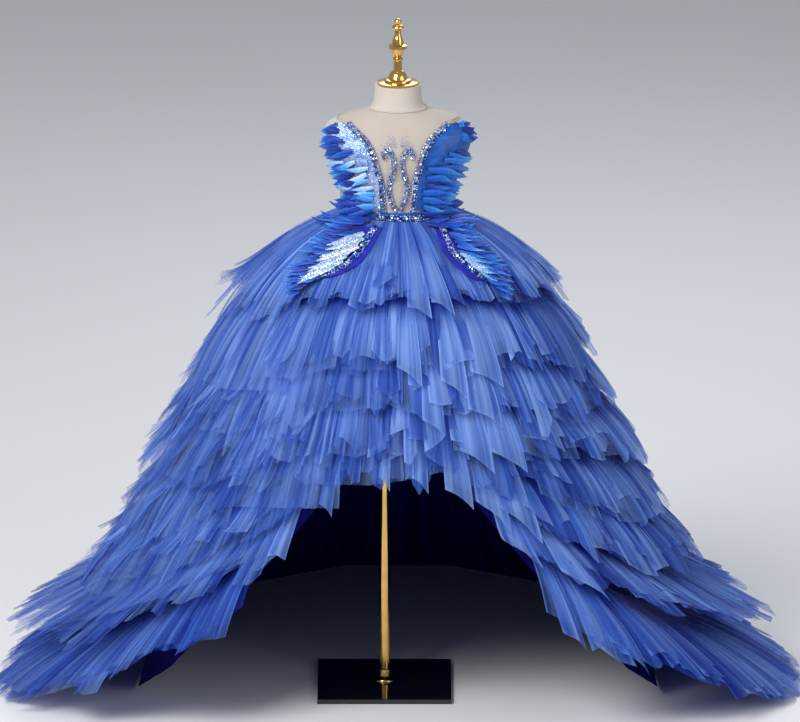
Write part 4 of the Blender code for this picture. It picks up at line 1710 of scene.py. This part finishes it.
class GOWN_OT_panels(Operator):
    """Adds the chest panels: sequinned cloth or satin, with cut feathers over it"""

    bl_idname = "gown.panels"
    bl_label = "Feather panels"

    def execute(self, context):
        look = context.scene.gown_bodice
        plumage = feather_material("cut satin feathers")
        pieces = []
        for name, side in SIDES:
            place = bodice_place(side)
            ground = self.ground(side, place)
            if side < 0:
                mat = sequin_cloth_material("sky sequin cloth", SKY_LOW, SKY_HIGH)
            else:
                mat = satin_material("azure satin", look.satin, 0.30)
            piece = seat(ground.make(f"panel_ground_{name}", mat), "feather")
            pieces.append(lay(piece, ground, PANEL_LENGTH))
            if side < 0:
                pieces.append(sew_sequins("panel_sequins", piece, look.sequins, 0.0008, 4))
            plumes = self.plumes(side, place, look.feather_width)
            piece = plumes.make(f"panel_feathers_{name}", plumage)
            seat(piece, "feather", f"feather_panel_{name}")
            pieces.append(lay(piece, plumes, PANEL_FEATHER))
        return tell(self, pieces)

    def ground(self, side, place):
        """The cloth under the feathers, sewn more closely with sequins towards the waist."""
        cover = 0.72 if side < 0 else 0.84

        def spot(down, across):
            row = PANEL_END * down
            along = cover * across
            flat, stand = bodice_spot(row, along)
            puff = 0.0012 * math.sin(math.pi * along) + stand * 0.5 * along**2
            puff += 0.0005 * math.sin(9 * row + 4 * along)
            return place(flat, puff - 0.0008), (math.radians(flat[0]) * BODICE_TURN, flat[1])

        def tint(down, across):
            return smooth((PANEL_END * down - 4.6) / 2.6) * (1.0 - 0.5 * cover * across)

        tints = [[tint(row / 36, column / 12) for column in range(13)] for row in range(37)]
        sequins = [[0.14 + 0.60 * value for value in row] for row in tints]
        facing = place((40.0, 1.05), 0.01) - place((40.0, 1.05), 0.0)
        cloth = Cloth()
        cloth.grid(*woven(36, 12, spot), facing=facing, tint=tints, sequin=sequins)
        return cloth

    def plumes(self, side, place, half):
        """The cut feathers of one panel, from the back layer to the front one."""
        draw = random.Random(31 if side < 0 else 32)
        plumes = Cloth()
        for layer, settings in enumerate(PANEL_LAYERS[side]):
            first, last, count, root_at, tip_at, wide, base, tint, tip_tint = settings
            for index in range(count):
                row = mix(first, last, (index + 0.5) / count) + draw.uniform(-0.16, 0.16)
                row = min(max(row, 0.0), PANEL_END)
                root, stand = bodice_spot(row, root_at + draw.uniform(-0.05, 0.05))
                reach = tip_at + draw.uniform(-0.07, 0.05)
                tip, _ = bodice_spot(row, min(reach, 1.0))
                shade_at = tint + draw.uniform(-0.16, 0.20)
                if side < 0 and layer != 1 and row > 4.0 and draw.random() < 0.40:
                    shade_at = 0.90
                feather(
                    plumes,
                    place,
                    root,
                    tip=(tip[0], tip[1] + draw.uniform(-0.010, 0.005)),
                    half=half * wide * draw.uniform(0.8, 1.15),
                    lift=(base, base + stand * reach * 0.8),
                    curl=draw.uniform(0.001, 0.006),
                    tint=shade_at,
                    tip_tint=tip_tint + draw.uniform(-0.20, 0.28),
                    seed=index + 40 * layer + 7,
                    blunt=0.25 if side > 0 else 0.0,
                )
        for index in range(11):
            root = (draw.uniform(18, 52), draw.uniform(0.960, 0.986))
            tip = (root[0] + draw.uniform(24, 38), max(root[1] - draw.uniform(0.0, 0.018), 0.956))
            feather(
                plumes,
                place,
                root,
                tip,
                half=half * draw.uniform(0.75, 1.1),
                lift=(0.0030, draw.uniform(0.006, 0.014)),
                curl=draw.uniform(0.001, 0.006),
                tint=draw.uniform(0.0, 0.34),
                tip_tint=draw.uniform(0.20, 0.66),
                seed=index + 211,
            )
        return plumes


def wing_spot(side, row, along):
    """A spot of a wing between a row's root and tip, and the row's stand-off."""
    left, right, share, tip_turn, tip_share, stand = at_row(WING_FEATHERS, row)
    root = left if side < 0 else right
    return (mix(root + 1.5, tip_turn, along), mix(share, tip_share, along)), stand


class GOWN_OT_wings(Operator):
    """Adds the hip wings: a dark satin layer, whose band past the bead edge is also the wings' painted
    shadow, sequinned inner feathers and long outer ones
    """

    bl_idname = "gown.wings"
    bl_label = "Hip wings"

    def execute(self, context):
        look = context.scene.gown_bodice
        plumage = feather_material("wing feathers")
        cobalt = satin_material("cobalt satin", look.cobalt)
        pieces = []
        for name, side in SIDES:
            pieces.append(self.underlay(name, side, cobalt))
            plumes = self.plumes(side, look.feather_width)
            piece = seat(plumes.make(f"wing_feathers_{name}", plumage), "feather", f"wing_{name}")
            pieces.append(lay(piece, plumes, WING_FEATHER))
            density = look.sequins * (0.75 if side < 0 else 0.45)
            pieces.append(sew_sequins(f"wing_sequins_{name}", piece, density, 0.0009, 21 + side))
        return tell(self, pieces)

    def underlay(self, name, side, mat):
        """The dark satin layer that shows past the bead edge; its dark band also stands in for the
        wing's shadow on the tulle, as painted shadow.
        """

        def spot(down, along):
            row = WING_END * down
            left, right, share = at_row(WING_FEATHERS, row)[:3]
            root = left if side < 0 else right
            degrees = root - UNDERLAY_MARGIN + (UNDERLAY_MARGIN + UNDERLAY_COVER) * along
            ripple = 0.0006 * math.sin(9 * row + 2 * along) * (1.0 - along)
            point = wing_place(side, degrees, share, ripple + 0.0003)
            return point, (math.radians(degrees) * 0.25, share * 0.2)

        cloth = Cloth()
        facing = wing_place(side, 40, 0.5, 0.01) - wing_place(side, 40, 0.5, 0.0)
        cloth.grid(*woven(28, 10, spot), facing=facing)
        piece = cloth.make(f"underlay_satin_{name}", mat)
        seat(piece, "cobalt", f"wing_underlay_{name}")
        return lay(piece, cloth, UNDERLAY_LENGTH)

    def plumes(self, side, half):
        """The feathers of one wing, from the outer layer to the inner one."""

        def place(spot, out):
            return wing_place(side, spot[0], spot[1], UNDERLAY_WALL + 2.5 * GAP + out)

        draw = random.Random(51 if side < 0 else 52)
        plumes = Cloth()
        for layer, settings in enumerate(WING_LAYERS[side]):
            first, last, count, root_at, tip_at, wide, base, tint, tip_tint, slant = settings
            for index in range(count):
                row = mix(first, last, (index + 0.5) / count) + draw.uniform(-0.12, 0.12)
                row = min(max(row, 0.0), WING_END)
                root, stand = wing_spot(side, row, root_at + draw.uniform(-0.04, 0.04))
                reach = tip_at + draw.uniform(-0.08, 0.04)
                tip, _ = wing_spot(side, min(row + slant, 7.2), min(reach, 1.02))
                feather(
                    plumes,
                    place,
                    root,
                    tip,
                    half=half * wide * draw.uniform(0.85, 1.2),
                    lift=(base, base + stand * reach * 0.7),
                    curl=draw.uniform(0.001, 0.007),
                    tint=tint + draw.uniform(-0.14, 0.10),
                    tip_tint=tip_tint + draw.uniform(-0.18, 0.22),
                    seed=index + 40 * layer + 11,
                    blunt=0.35 if layer == 3 else 0.0,
                )
        for index in range(12):
            root = (draw.uniform(24, 58), draw.uniform(0.0, 0.09))
            tip = (root[0] + draw.uniform(16, 30), root[1] + draw.uniform(0.03, 0.12))
            feather(
                plumes,
                place,
                root,
                tip,
                half=half * draw.uniform(0.8, 1.15),
                lift=(0.0040, draw.uniform(0.007, 0.013)),
                curl=draw.uniform(0.001, 0.007),
                tint=draw.uniform(0.0, 0.30),
                tip_tint=draw.uniform(0.20, 0.62),
                seed=index + 301,
            )
        return plumes


def side_lines(line, place_out, width):
    """Two lines close beside a bead line, on the same surface, and then two further out."""
    lines = []
    for reach, drop in ((width, 0.0008), (1.5 * width, 0.0014)):
        for side in (-1, 1):
            beside = []
            for i, point in enumerate(line):
                ahead = line[min(i + 1, len(line) - 1)] - line[max(i - 1, 0)]
                across = ahead.cross(place_out[i]).normalized()
                beside.append(point + across * side * reach - place_out[i] * drop)
            lines.append(beside)
    return lines


def bead_edge(name, node, spot, side, steps, width, bead, seed):
    """A bead edge along a line. spot gives its point at a share of the way and a height above it."""
    line = [spot(side, step / steps, 0.0) for step in range(steps + 1)]
    outs = []
    for step, point in enumerate(line):
        outs.append((spot(side, step / steps, 0.01) - point).normalized())
    return thread_beads(name, node, line, side_lines(line, outs, width), bead, seed)


class GOWN_OT_beads(Operator):
    """Threads the bead edges, the scrolls and the bead line of the waist"""

    bl_idname = "gown.beads"
    bl_label = "Bead edges"

    def execute(self, context):
        bead = context.scene.gown_bodice.bead
        kinds = (
            ("chest_edge", "bodice_beads", self.chest, 72, 0.0041, bead, 60),
            ("scroll_edge", "scroll_beads", self.scroll, 72, 0.0034, SCROLL_BEAD, 70),
            ("wing_edge", "wing_beads", self.wing, 96, 0.0041, bead, 80),
        )
        pieces = []
        for end, side in SIDES:
            for name, node, spot, steps, width, radius, seed in kinds:
                name = f"{name}_{end}"
                node = f"{node}_{end}"
                piece = bead_edge(name, node, spot, side, steps, width, radius, seed + side)
                pieces.append(piece)
        waist = bead_edge("waist_edge", "waist_beads", self.waist, 1, 60, 0.0041, bead, 90)
        pieces.append(waist)
        pieces.append(self.sprigs())
        return tell(self, pieces)

    def chest(self, side, share, more):
        """The line of a chest panel's inner edge."""
        x, z = at_row(BODICE_FEATHERS, CHEST_EDGE_END * share)[:2]
        out = net_ease(z) + NET + 2 * GAP + BEAD_LIFT
        return torso_point(z, side * turn_at(z, x + ROPE_RADIUS), out + more)

    def scroll(self, side, share, more):
        """The line of a scroll in the open centre."""
        x, z = at_row(SCROLL, SCROLL_END * share)
        out = net_ease(z) + NET + 4 * GAP + 0.0018
        return torso_point(z, side * turn_at(z, x), out + more)

    def wing(self, side, share, more):
        """The line of a hip wing's upper edge."""
        left, right, down = at_row(WING_FEATHERS, WING_EDGE_END * share)[:3]
        root = left if side < 0 else right
        return wing_place(side, root, down, UNDERLAY_WALL + GAP + BEAD_LIFT + more)

    def waist(self, side, share, more):
        """The line over the waistband, from the left wing to past the right one."""
        turn = side * math.radians(mix(-19, 40, share))
        height = 0.959 - 0.004 * math.sin(math.pi * share)
        out = BODICE_EASE + 2 * NET + 2 * GAP + 0.0024
        return torso_point(height, turn, out + more)

    def sprigs(self):
        """A fan of fine embroidered sprigs above the scrolls, with seed beads along them."""
        lines = []
        for side in (-1, 1):
            for index in range(5):
                angle = math.radians(14 + 17 * index)
                length = 0.024 + 0.004 * math.sin(index * 2.0)
                line = []
                for step in range(9):
                    share = step / 8
                    x = 0.004 + length * share * math.sin(angle)
                    z = SCROLL_TOP_Z + length * share * math.cos(angle) * (1.0 - 0.25 * share)
                    line.append(torso_point(z, side * turn_at(z, x), net_ease(z) + NET + 0.0009))
                lines.append(line)
        tree, keys = bead_tree()
        mat = bead_material("seed beads", BEAD_STOPS, 0.4, 0.2)
        sizes = {"Spacing": 0.0021, "Radius": SEED_BEAD}
        mesh = grow_along(lines, tree, keys, Seed=5, Finish=mat, **sizes)
        return seat(grown_piece("sprig_beads", [mesh], mat), "beads")


class GOWN_OT_lining(Operator):
    """Adds the dark net skirt that the tiers are sewn to"""

    bl_idname = "gown.lining"
    bl_label = "Net lining"

    def execute(self, context):
        look = context.scene.gown_tulle
        columns = 300
        fine = 4
        rows = []
        coords = []
        for row in range(len(BASE) - 1):
            for step in range(fine if row < len(BASE) - 2 else fine + 1):
                share = step / fine
                turns = [math.tau * column / columns for column in range(columns + 1)]
                rows.append([self.point(row, share, turn) for turn in turns[:-1]])
                coords.append([(turn * 0.4, 0.1 * (row + share)) for turn in turns])
        cloth = Cloth()
        cloth.grid(rows, coords, closed=True)
        piece = cloth.make("lining_net", lining_material("dark lining net", look.lining))
        seat(piece, "dark_net", "skirt_base")
        lay(piece, cloth, LINING_LENGTH)
        return tell(self, [piece])

    def point(self, row, share, turn):
        """A point just inside the base's facets, with soft pleats."""
        place = turn / math.tau * BASE_COLUMNS
        first = math.floor(place)
        spots = []
        for facet in (first, first + 1):
            angle = math.tau * facet / BASE_COLUMNS
            spots.append(base_point(row, angle).lerp(base_point(row + 1, angle), share))
        point = spots[0].lerp(spots[1], place - first)
        if row + share > 0:
            inward = 0.0008 + 0.002 * min((row + share) / 3, 1.0) * (1 + pleat_at(turn, 5))
            point -= Vector((point.x - FORM_X, point.y, 0)).normalized() * inward
        return Vector((point.x, point.y, max(point.z, FLOOR_CLEAR)))


def tier_range(tier):
    """The first and last turn that a tier covers."""
    if not tier.opening:
        return 0.0, math.tau
    first = math.ceil(tier.opening * SKIRT_COLUMNS / 360) * math.tau / SKIRT_COLUMNS
    return first, math.tau - first


def free_share(number, turn):
    """The share of a tier's length at which it comes out from under the tier above."""
    if number == 0:
        return -0.3
    above = TIERS[number - 1]
    height = spread(turn, above.front_z, above.side_z, above.back_z)
    path = TierPath(TIERS[number], turn)
    steps = 20
    for step in range(1, steps + 1):
        if path.spot(step / steps, 0.0).z < height:
            return (step - 1) / steps
    return 1.0


def hidden_share(share, free):
    """How far a spot of a tier lies under the tier above; this sets the painted shadow there."""
    return 1.0 - smooth((share - free) / 0.26)


def loose_share(turn):
    """How far the layers drift over the next tier at a turn: most at the left and the back."""
    return max(-math.sin(turn), -0.8 * math.cos(turn), 0.0)


def tier_core(number, tier, pleat):
    """The close inner layers of a tier: main folds, fine pleats and an uneven hem."""
    first, last = tier_range(tier)
    closed = not tier.opening
    columns = round(CORE_COLUMNS * (last - first) / math.tau)
    paths = []
    for column in range(columns if closed else columns + 1):
        turn = mix(first, last, column / columns)
        path = TierPath(tier, turn)
        fine = pleat_at(turn, tier.seed)
        paths.append((path, *fold_at(tier, turn), fine, free_share(number, turn)))
    rows = []
    coords = []
    folds = []
    covers = []
    for step in range(CORE_ROWS + 1):
        share = step / CORE_ROWS
        row = []
        coord_row = []
        fold_shade_row = []
        cover_row = []
        for path, crest, lean, fine, free in paths:
            depth = pleat * fine * min(share * 2.2, 1.0)
            ragged = -0.007 * (1.0 - fine) * share**6
            row.append(path.spot(share, crest, depth, lean, ragged))
            coord_row.append((path.turn * 0.5, share * path.length))
            # Painted shade in the fold value: lighter on the crests of the main folds and fine pleats,
            # darker in their troughs, and darker still where the tier above lies over this one, less
            # so where the layers hang loose.
            painted_shadow = mix(1.4, 0.75, loose_share(path.turn)) * hidden_share(share, free)
            fold_shade_row.append(0.75 * crest + 0.6 * fine - painted_shadow)
            cover_row.append(mix(0.97, 0.62, smooth((share - 0.72) / 0.28)))
        if closed:
            coord_row.append((math.tau * 0.5, coord_row[0][1]))
        rows.append(row)
        coords.append(coord_row)
        folds.append(fold_shade_row)
        covers.append(cover_row)
    cloth = Cloth()
    edges = [[0.0] * len(row) for row in rows]
    # Painted shade in the tone value: the inner layers of every tier below the first are darker, and a
    # little darker again for each tier lower down, deepening towards the floor.
    tones = [[-0.40 - 0.05 * number if number else 0.15] * len(row) for row in rows]
    cloth.grid(rows, coords, closed, fold=folds, cover=covers, tone=tones, edge=edges)
    return cloth


def tongue(
    cloth, number, turn, half, start, end, lift, arch, curl, cut, dent, tone, cover, sizes, seed
):
    """One cut strip of tulle that hangs over a tier, narrow and sheer at its top.

    half is its half width at the hem, start and end shares of the tier's length, lift its height
    over the folds at the end, arch its bow across, cut and dent the shape of its lower edge. sizes
    has its rows, columns and waves, and the share of its cover that is left at the hem.
    """
    row_count, column_count, waves, fade = sizes
    tier = TIERS[number]
    middle = TierPath(tier, turn)
    free = free_share(number, turn)
    angle = half / max(middle.hem_r, 0.2)
    crest = 0.35
    sway = 0.012 * scatter(seed, 1)
    paths = []
    for column in range(column_count + 1):
        u = 2.0 * column / column_count - 1.0
        paths.append((u, TierPath(tier, turn + u * angle)))
    rows = []
    coords = []
    folds = []
    covers = []
    tones = []
    edges = []
    for step in range(row_count + 1):
        along = step / row_count
        share = mix(start, end, along)
        row = []
        coord_row = []
        fold_shade_row = []
        for u, path in paths:
            narrow = 0.32 * (1.0 - along) ** 1.5
            longer = (cut * u + dent * (1.0 - abs(u))) * along**4
            wave = math.sin(waves * math.pi * u + seed)
            bow = arch * (1.0 - u * u)
            out = CLOTH + lift * along**1.3 + (bow + 0.0022 * wave) * (0.35 + 0.65 * along)
            out += curl * along**5
            lean = sway * along - u * angle * narrow
            row.append(path.spot(share, crest, out, lean / max(share, 0.05), longer))
            coord_row.append((u * half * 1.4 + seed * 0.37, share * path.length))
            # Painted shade in the fold value: lighter along the middle of the strip and on its wave
            # crests, darker at its sides and where the tier above lies over it.
            painted_shadow = 0.8 * hidden_share(share, free)
            fold_shade_row.append(0.7 * wave * along + 0.5 * (1.0 - 2.0 * u * u) - painted_shadow)
        rows.append(row)
        coords.append(coord_row)
        folds.append(fold_shade_row)
        covers.append([cover * smooth(along / 0.4) * mix(1.0, fade, along**3)] * len(row))
        tones.append([tone] * len(row))
        # The edge value paints a highlight along the strip's sides and a light line at its hem, and
        # makes them less sheer.
        hem = max(0.0, (along - 0.9) * 11.0 * fade)
        edges.append([max(abs(u) ** 10, hem) for u, _ in paths])
    facing = Vector((math.sin(turn), -math.cos(turn), 0.3))
    cloth.grid(rows, coords, facing=facing, fold=folds, cover=covers, tone=tones, edge=edges)


def tier_strips(number, tier, spacing):
    """The many cut strips of a tier: long and fine on the left, wide with cut ends on the right."""
    draw = random.Random(100 + number)
    first, last = tier_range(tier)
    strips = Cloth()
    if tier.opening:
        first += 0.01
        last -= 0.01
    turn = first
    seed = 1
    while turn < last:
        path = TierPath(tier, turn)
        front = max(math.cos(turn), 0.0)
        left = max(-math.sin(turn), 0.0)
        right = max(math.sin(turn), 0.0)
        half = (0.006 + 0.011 * draw.random() ** 1.6) * (1.0 + 0.8 * right + 0.7 * front)
        lift = draw.uniform(-0.001, 0.008)
        arch = draw.uniform(0.001, 0.006)
        start = draw.uniform(0.20, 0.42) - 0.10 * left
        end = draw.uniform(0.76, 1.06) + left * draw.uniform(0.02, 0.24) * 1.5
        end += 0.06 * math.sin(5 * turn + 2 * number) * (1.0 - left)
        curl = draw.uniform(-0.005, 0.007)
        if number < 6:
            curl += (0.010 + 1.6 * max(curl, 0.0)) * left
        if number == 0:
            in_wing = 14 < front_degrees(turn) < 88
            start += 0.26
            lift = draw.uniform(-0.005, 0.0) if in_wing else lift * 0.7
            curl = 0.0 if in_wing else curl
            arch = 0.001 if in_wing else arch
        if number == 4:
            end -= 0.18 * front
        if number == 7:
            end = draw.uniform(0.84, 1.02) + 0.12 * abs(math.sin(2.0 * turn)) * math.sqrt(front)
            curl = abs(curl)
        tongue(
            strips,
            number,
            turn,
            half,
            start,
            end,
            lift,
            arch,
            curl,
            cut=draw.uniform(-0.014, 0.014),
            dent=draw.uniform(-0.012, 0.018),
            # Each strip has its own random tone; the fall of 0.06 for each lower tier is painted shade
            # that darkens the skirt towards the floor.
            tone=draw.uniform(-0.50, 1.15) * (1.0 - 0.35 * left) - 0.06 * number,
            cover=draw.uniform(0.60, 0.97),
            sizes=(*STRIP_MESH, draw.choice((1.0, 1.5, 2.0)), mix(0.60, 0.30, left)),
            seed=seed,
        )
        turn += spacing * (1.0 - 0.25 * left) * draw.uniform(0.4, 1.6) / path.hem_r
        seed += 1
    for which, degrees, end, half in LONG_STRIPS:
        if which == number:
            tongue(
                strips,
                number,
                math.radians(degrees) % math.tau,
                half,
                start=0.3,
                end=end,
                lift=0.010,
                arch=0.005,
                curl=-0.002,
                cut=0.012,
                dent=-0.004,
                tone=0.8,
                cover=0.8,
                sizes=(*STRIP_MESH, 1.5, 0.6),
                seed=seed,
            )
            seed += 1
    return strips


def tier_veils(number, tier, spacing):
    """The broad sheer panels over a tier, with soft folds and a smooth lower edge."""
    draw = random.Random(200 + number)
    first, last = tier_range(tier)
    veils = Cloth()
    turn = first + 0.08
    seed = 1
    while turn < last - (0.06 if tier.opening else 0.0):
        path = TierPath(tier, turn)
        low = number == 0 and 12 < front_degrees(turn) < 90
        loose = loose_share(turn) if 0 < number < 7 else 0.0
        tongue(
            veils,
            number,
            turn,
            half=draw.uniform(0.045, 0.085) * (1.0 + 0.5 * loose),
            start=0.18,
            end=draw.uniform(0.88, 1.02) + (0.26 if number < 6 else 0.12) * loose,
            lift=draw.uniform(0.001, 0.006) if not low else -0.004,
            arch=draw.uniform(0.0, 0.006) if not low else 0.0,
            curl=draw.uniform(-0.004, 0.005) + 0.010 * loose if not low else 0.0,
            cut=draw.uniform(-0.016, 0.016),
            dent=draw.uniform(0.0, 0.012),
            tone=draw.uniform(0.2, 0.9),
            cover=draw.uniform(0.28, 0.44) + 0.20 * loose,
            sizes=(*VEIL_MESH, draw.choice((3.0, 4.0, 5.0)), mix(0.55, 0.35, loose)),
            seed=seed,
        )
        turn += spacing * draw.uniform(0.7, 1.4) / path.hem_r
        seed += 1
    return veils


class GOWN_OT_tiers(Operator):
    """Adds the eight gathered tiers, each as close inner layers, cut strips and sheer veils"""

    bl_idname = "gown.tiers"
    bl_label = "Tulle tiers"

    def execute(self, context):
        look = context.scene.gown_tulle
        inner = tulle_material("tulle layers", look, 0.30, 0.25)
        strip = tulle_material("tulle strips", look, 0.50, 0.35)
        veil = tulle_material("tulle veils", look, 0.50, 0.40)
        pieces = []
        for number, tier in enumerate(TIERS):
            length = TierPath(tier, math.pi / 2).length
            core = tier_core(number, tier, look.pleat)
            piece = seat(core.make(f"{tier.name}_layers", inner), "tulle", tier.name)
            pieces.append(lay(piece, core, length, INNER_GATHER))
            strips = tier_strips(number, tier, look.spacing)
            piece = seat(strips.make(f"{tier.name}_strips", strip), "tulle")
            pieces.append(lay(piece, strips, length))
            veils = tier_veils(number, tier, look.veil_spacing)
            piece = seat(veils.make(f"{tier.name}_veils", veil), "tulle")
            pieces.append(lay(piece, veils, length))
        return tell(self, pieces)


def area_light(name, place, aim, size, power, colour):
    """A soft square light that faces a point."""
    data = bpy.data.lights.new(name, "AREA")
    data.shape = "SQUARE"
    data.size = size
    data.energy = power
    data.color = colour
    obj = placed_object(name, data)
    obj.location = place
    obj.rotation_euler = (Vector(aim) - Vector(place)).to_track_quat("-Z", "Y").to_euler()


class GOWN_OT_stage(Operator):
    """Adds the plain floor, the studio lights and the camera"""

    bl_idname = "gown.stage"
    bl_label = "Stage"

    def execute(self, context):
        look = context.scene.gown_stage
        scene = context.scene
        mat, wires = new_material("studio floor")
        cloud = wires.noise(object_node(wires), 0.6, 2.0, 0.5)
        tint = wires.ramp(cloud, (0.3, shade(look.floor, 0.97)), (0.7, look.floor))
        principled(wires, base_color=tint, roughness=0.6)
        size = 60.0
        points = [(-size, -size, 0), (size, -size, 0), (size, size, 0), (-size, size, 0)]
        floor = plain_mesh("floor", points, [(0, 1, 2, 3)], mat)
        world = bpy.data.worlds.new("studio")
        world.use_nodes = True
        sky = world.node_tree.nodes["Background"]
        sky.inputs["Color"].default_value = (0.86, 0.89, 0.95, 1.0)
        sky.inputs["Strength"].default_value = 0.42
        scene.world = world
        area_light("key", (-1.7, -2.4, 3.3), (0, 0, 0.8), 1.8, look.key, (1.0, 0.98, 0.96))
        area_light("fill", (3.2, -2.4, 2.2), (0, 0, 0.6), 2.6, look.fill, (0.93, 0.96, 1.0))
        area_light("back", (0.6, 3.4, 3.2), (0, 0.2, 0.6), 2.0, look.fill, (0.95, 0.97, 1.0))
        camera = bpy.data.cameras.new("camera")
        camera.sensor_width = SENSOR
        camera.lens = SENSOR * look.distance / VIEW_WIDTH
        camera.clip_end = 200.0
        obj = placed_object("camera", camera)
        back = Vector((0.0, -math.cos(look.elevation), math.sin(look.elevation)))
        obj.location = AIM + back * look.distance
        obj.rotation_euler = (-back).to_track_quat("-Z", "Y").to_euler()
        scene.camera = obj
        scene.view_settings.view_transform = "Standard"
        return {"FINISHED"}


class GOWN_PT_panel(Panel):
    """The gown's pieces, settings and stage in the sidebar"""

    bl_label = "Ballroom gown"
    bl_idname = "GOWN_PT_panel"
    bl_space_type = "VIEW_3D"
    bl_region_type = "UI"
    bl_category = "Gown"

    def draw(self, context):
        layout = self.layout
        for operator in OPERATORS:
            layout.operator(operator.bl_idname)
        for name, group in GROUPS:
            box = layout.box()
            settings = getattr(context.scene, name)
            for key in group.__annotations__:
                box.prop(settings, key)


OPERATORS = (
    GOWN_OT_stand,
    GOWN_OT_form,
    GOWN_OT_bodice,
    GOWN_OT_lining,
    GOWN_OT_tiers,
    GOWN_OT_panels,
    GOWN_OT_wings,
    GOWN_OT_beads,
    GOWN_OT_stage,
)
GROUPS = (
    ("gown_stand", StandSettings),
    ("gown_tulle", TulleSettings),
    ("gown_bodice", BodiceSettings),
    ("gown_stage", StageSettings),
)


def register():
    """Makes the settings, the operators and the panel known."""
    for name, group in GROUPS:
        bpy.utils.register_class(group)
        setattr(bpy.types.Scene, name, PointerProperty(type=group))
    for operator in OPERATORS:
        bpy.utils.register_class(operator)
    bpy.utils.register_class(GOWN_PT_panel)


def unregister():
    """Takes them away again."""
    bpy.utils.unregister_class(GOWN_PT_panel)
    for operator in reversed(OPERATORS):
        bpy.utils.unregister_class(operator)
    for name, group in reversed(GROUPS):
        delattr(bpy.types.Scene, name)
        bpy.utils.unregister_class(group)


def main():
    """Builds the gown and its stage."""
    register()
    for operator in OPERATORS:
        group, name = operator.bl_idname.split(".")
        getattr(getattr(bpy.ops, group), name)()


if __name__ == "__main__":
    main()
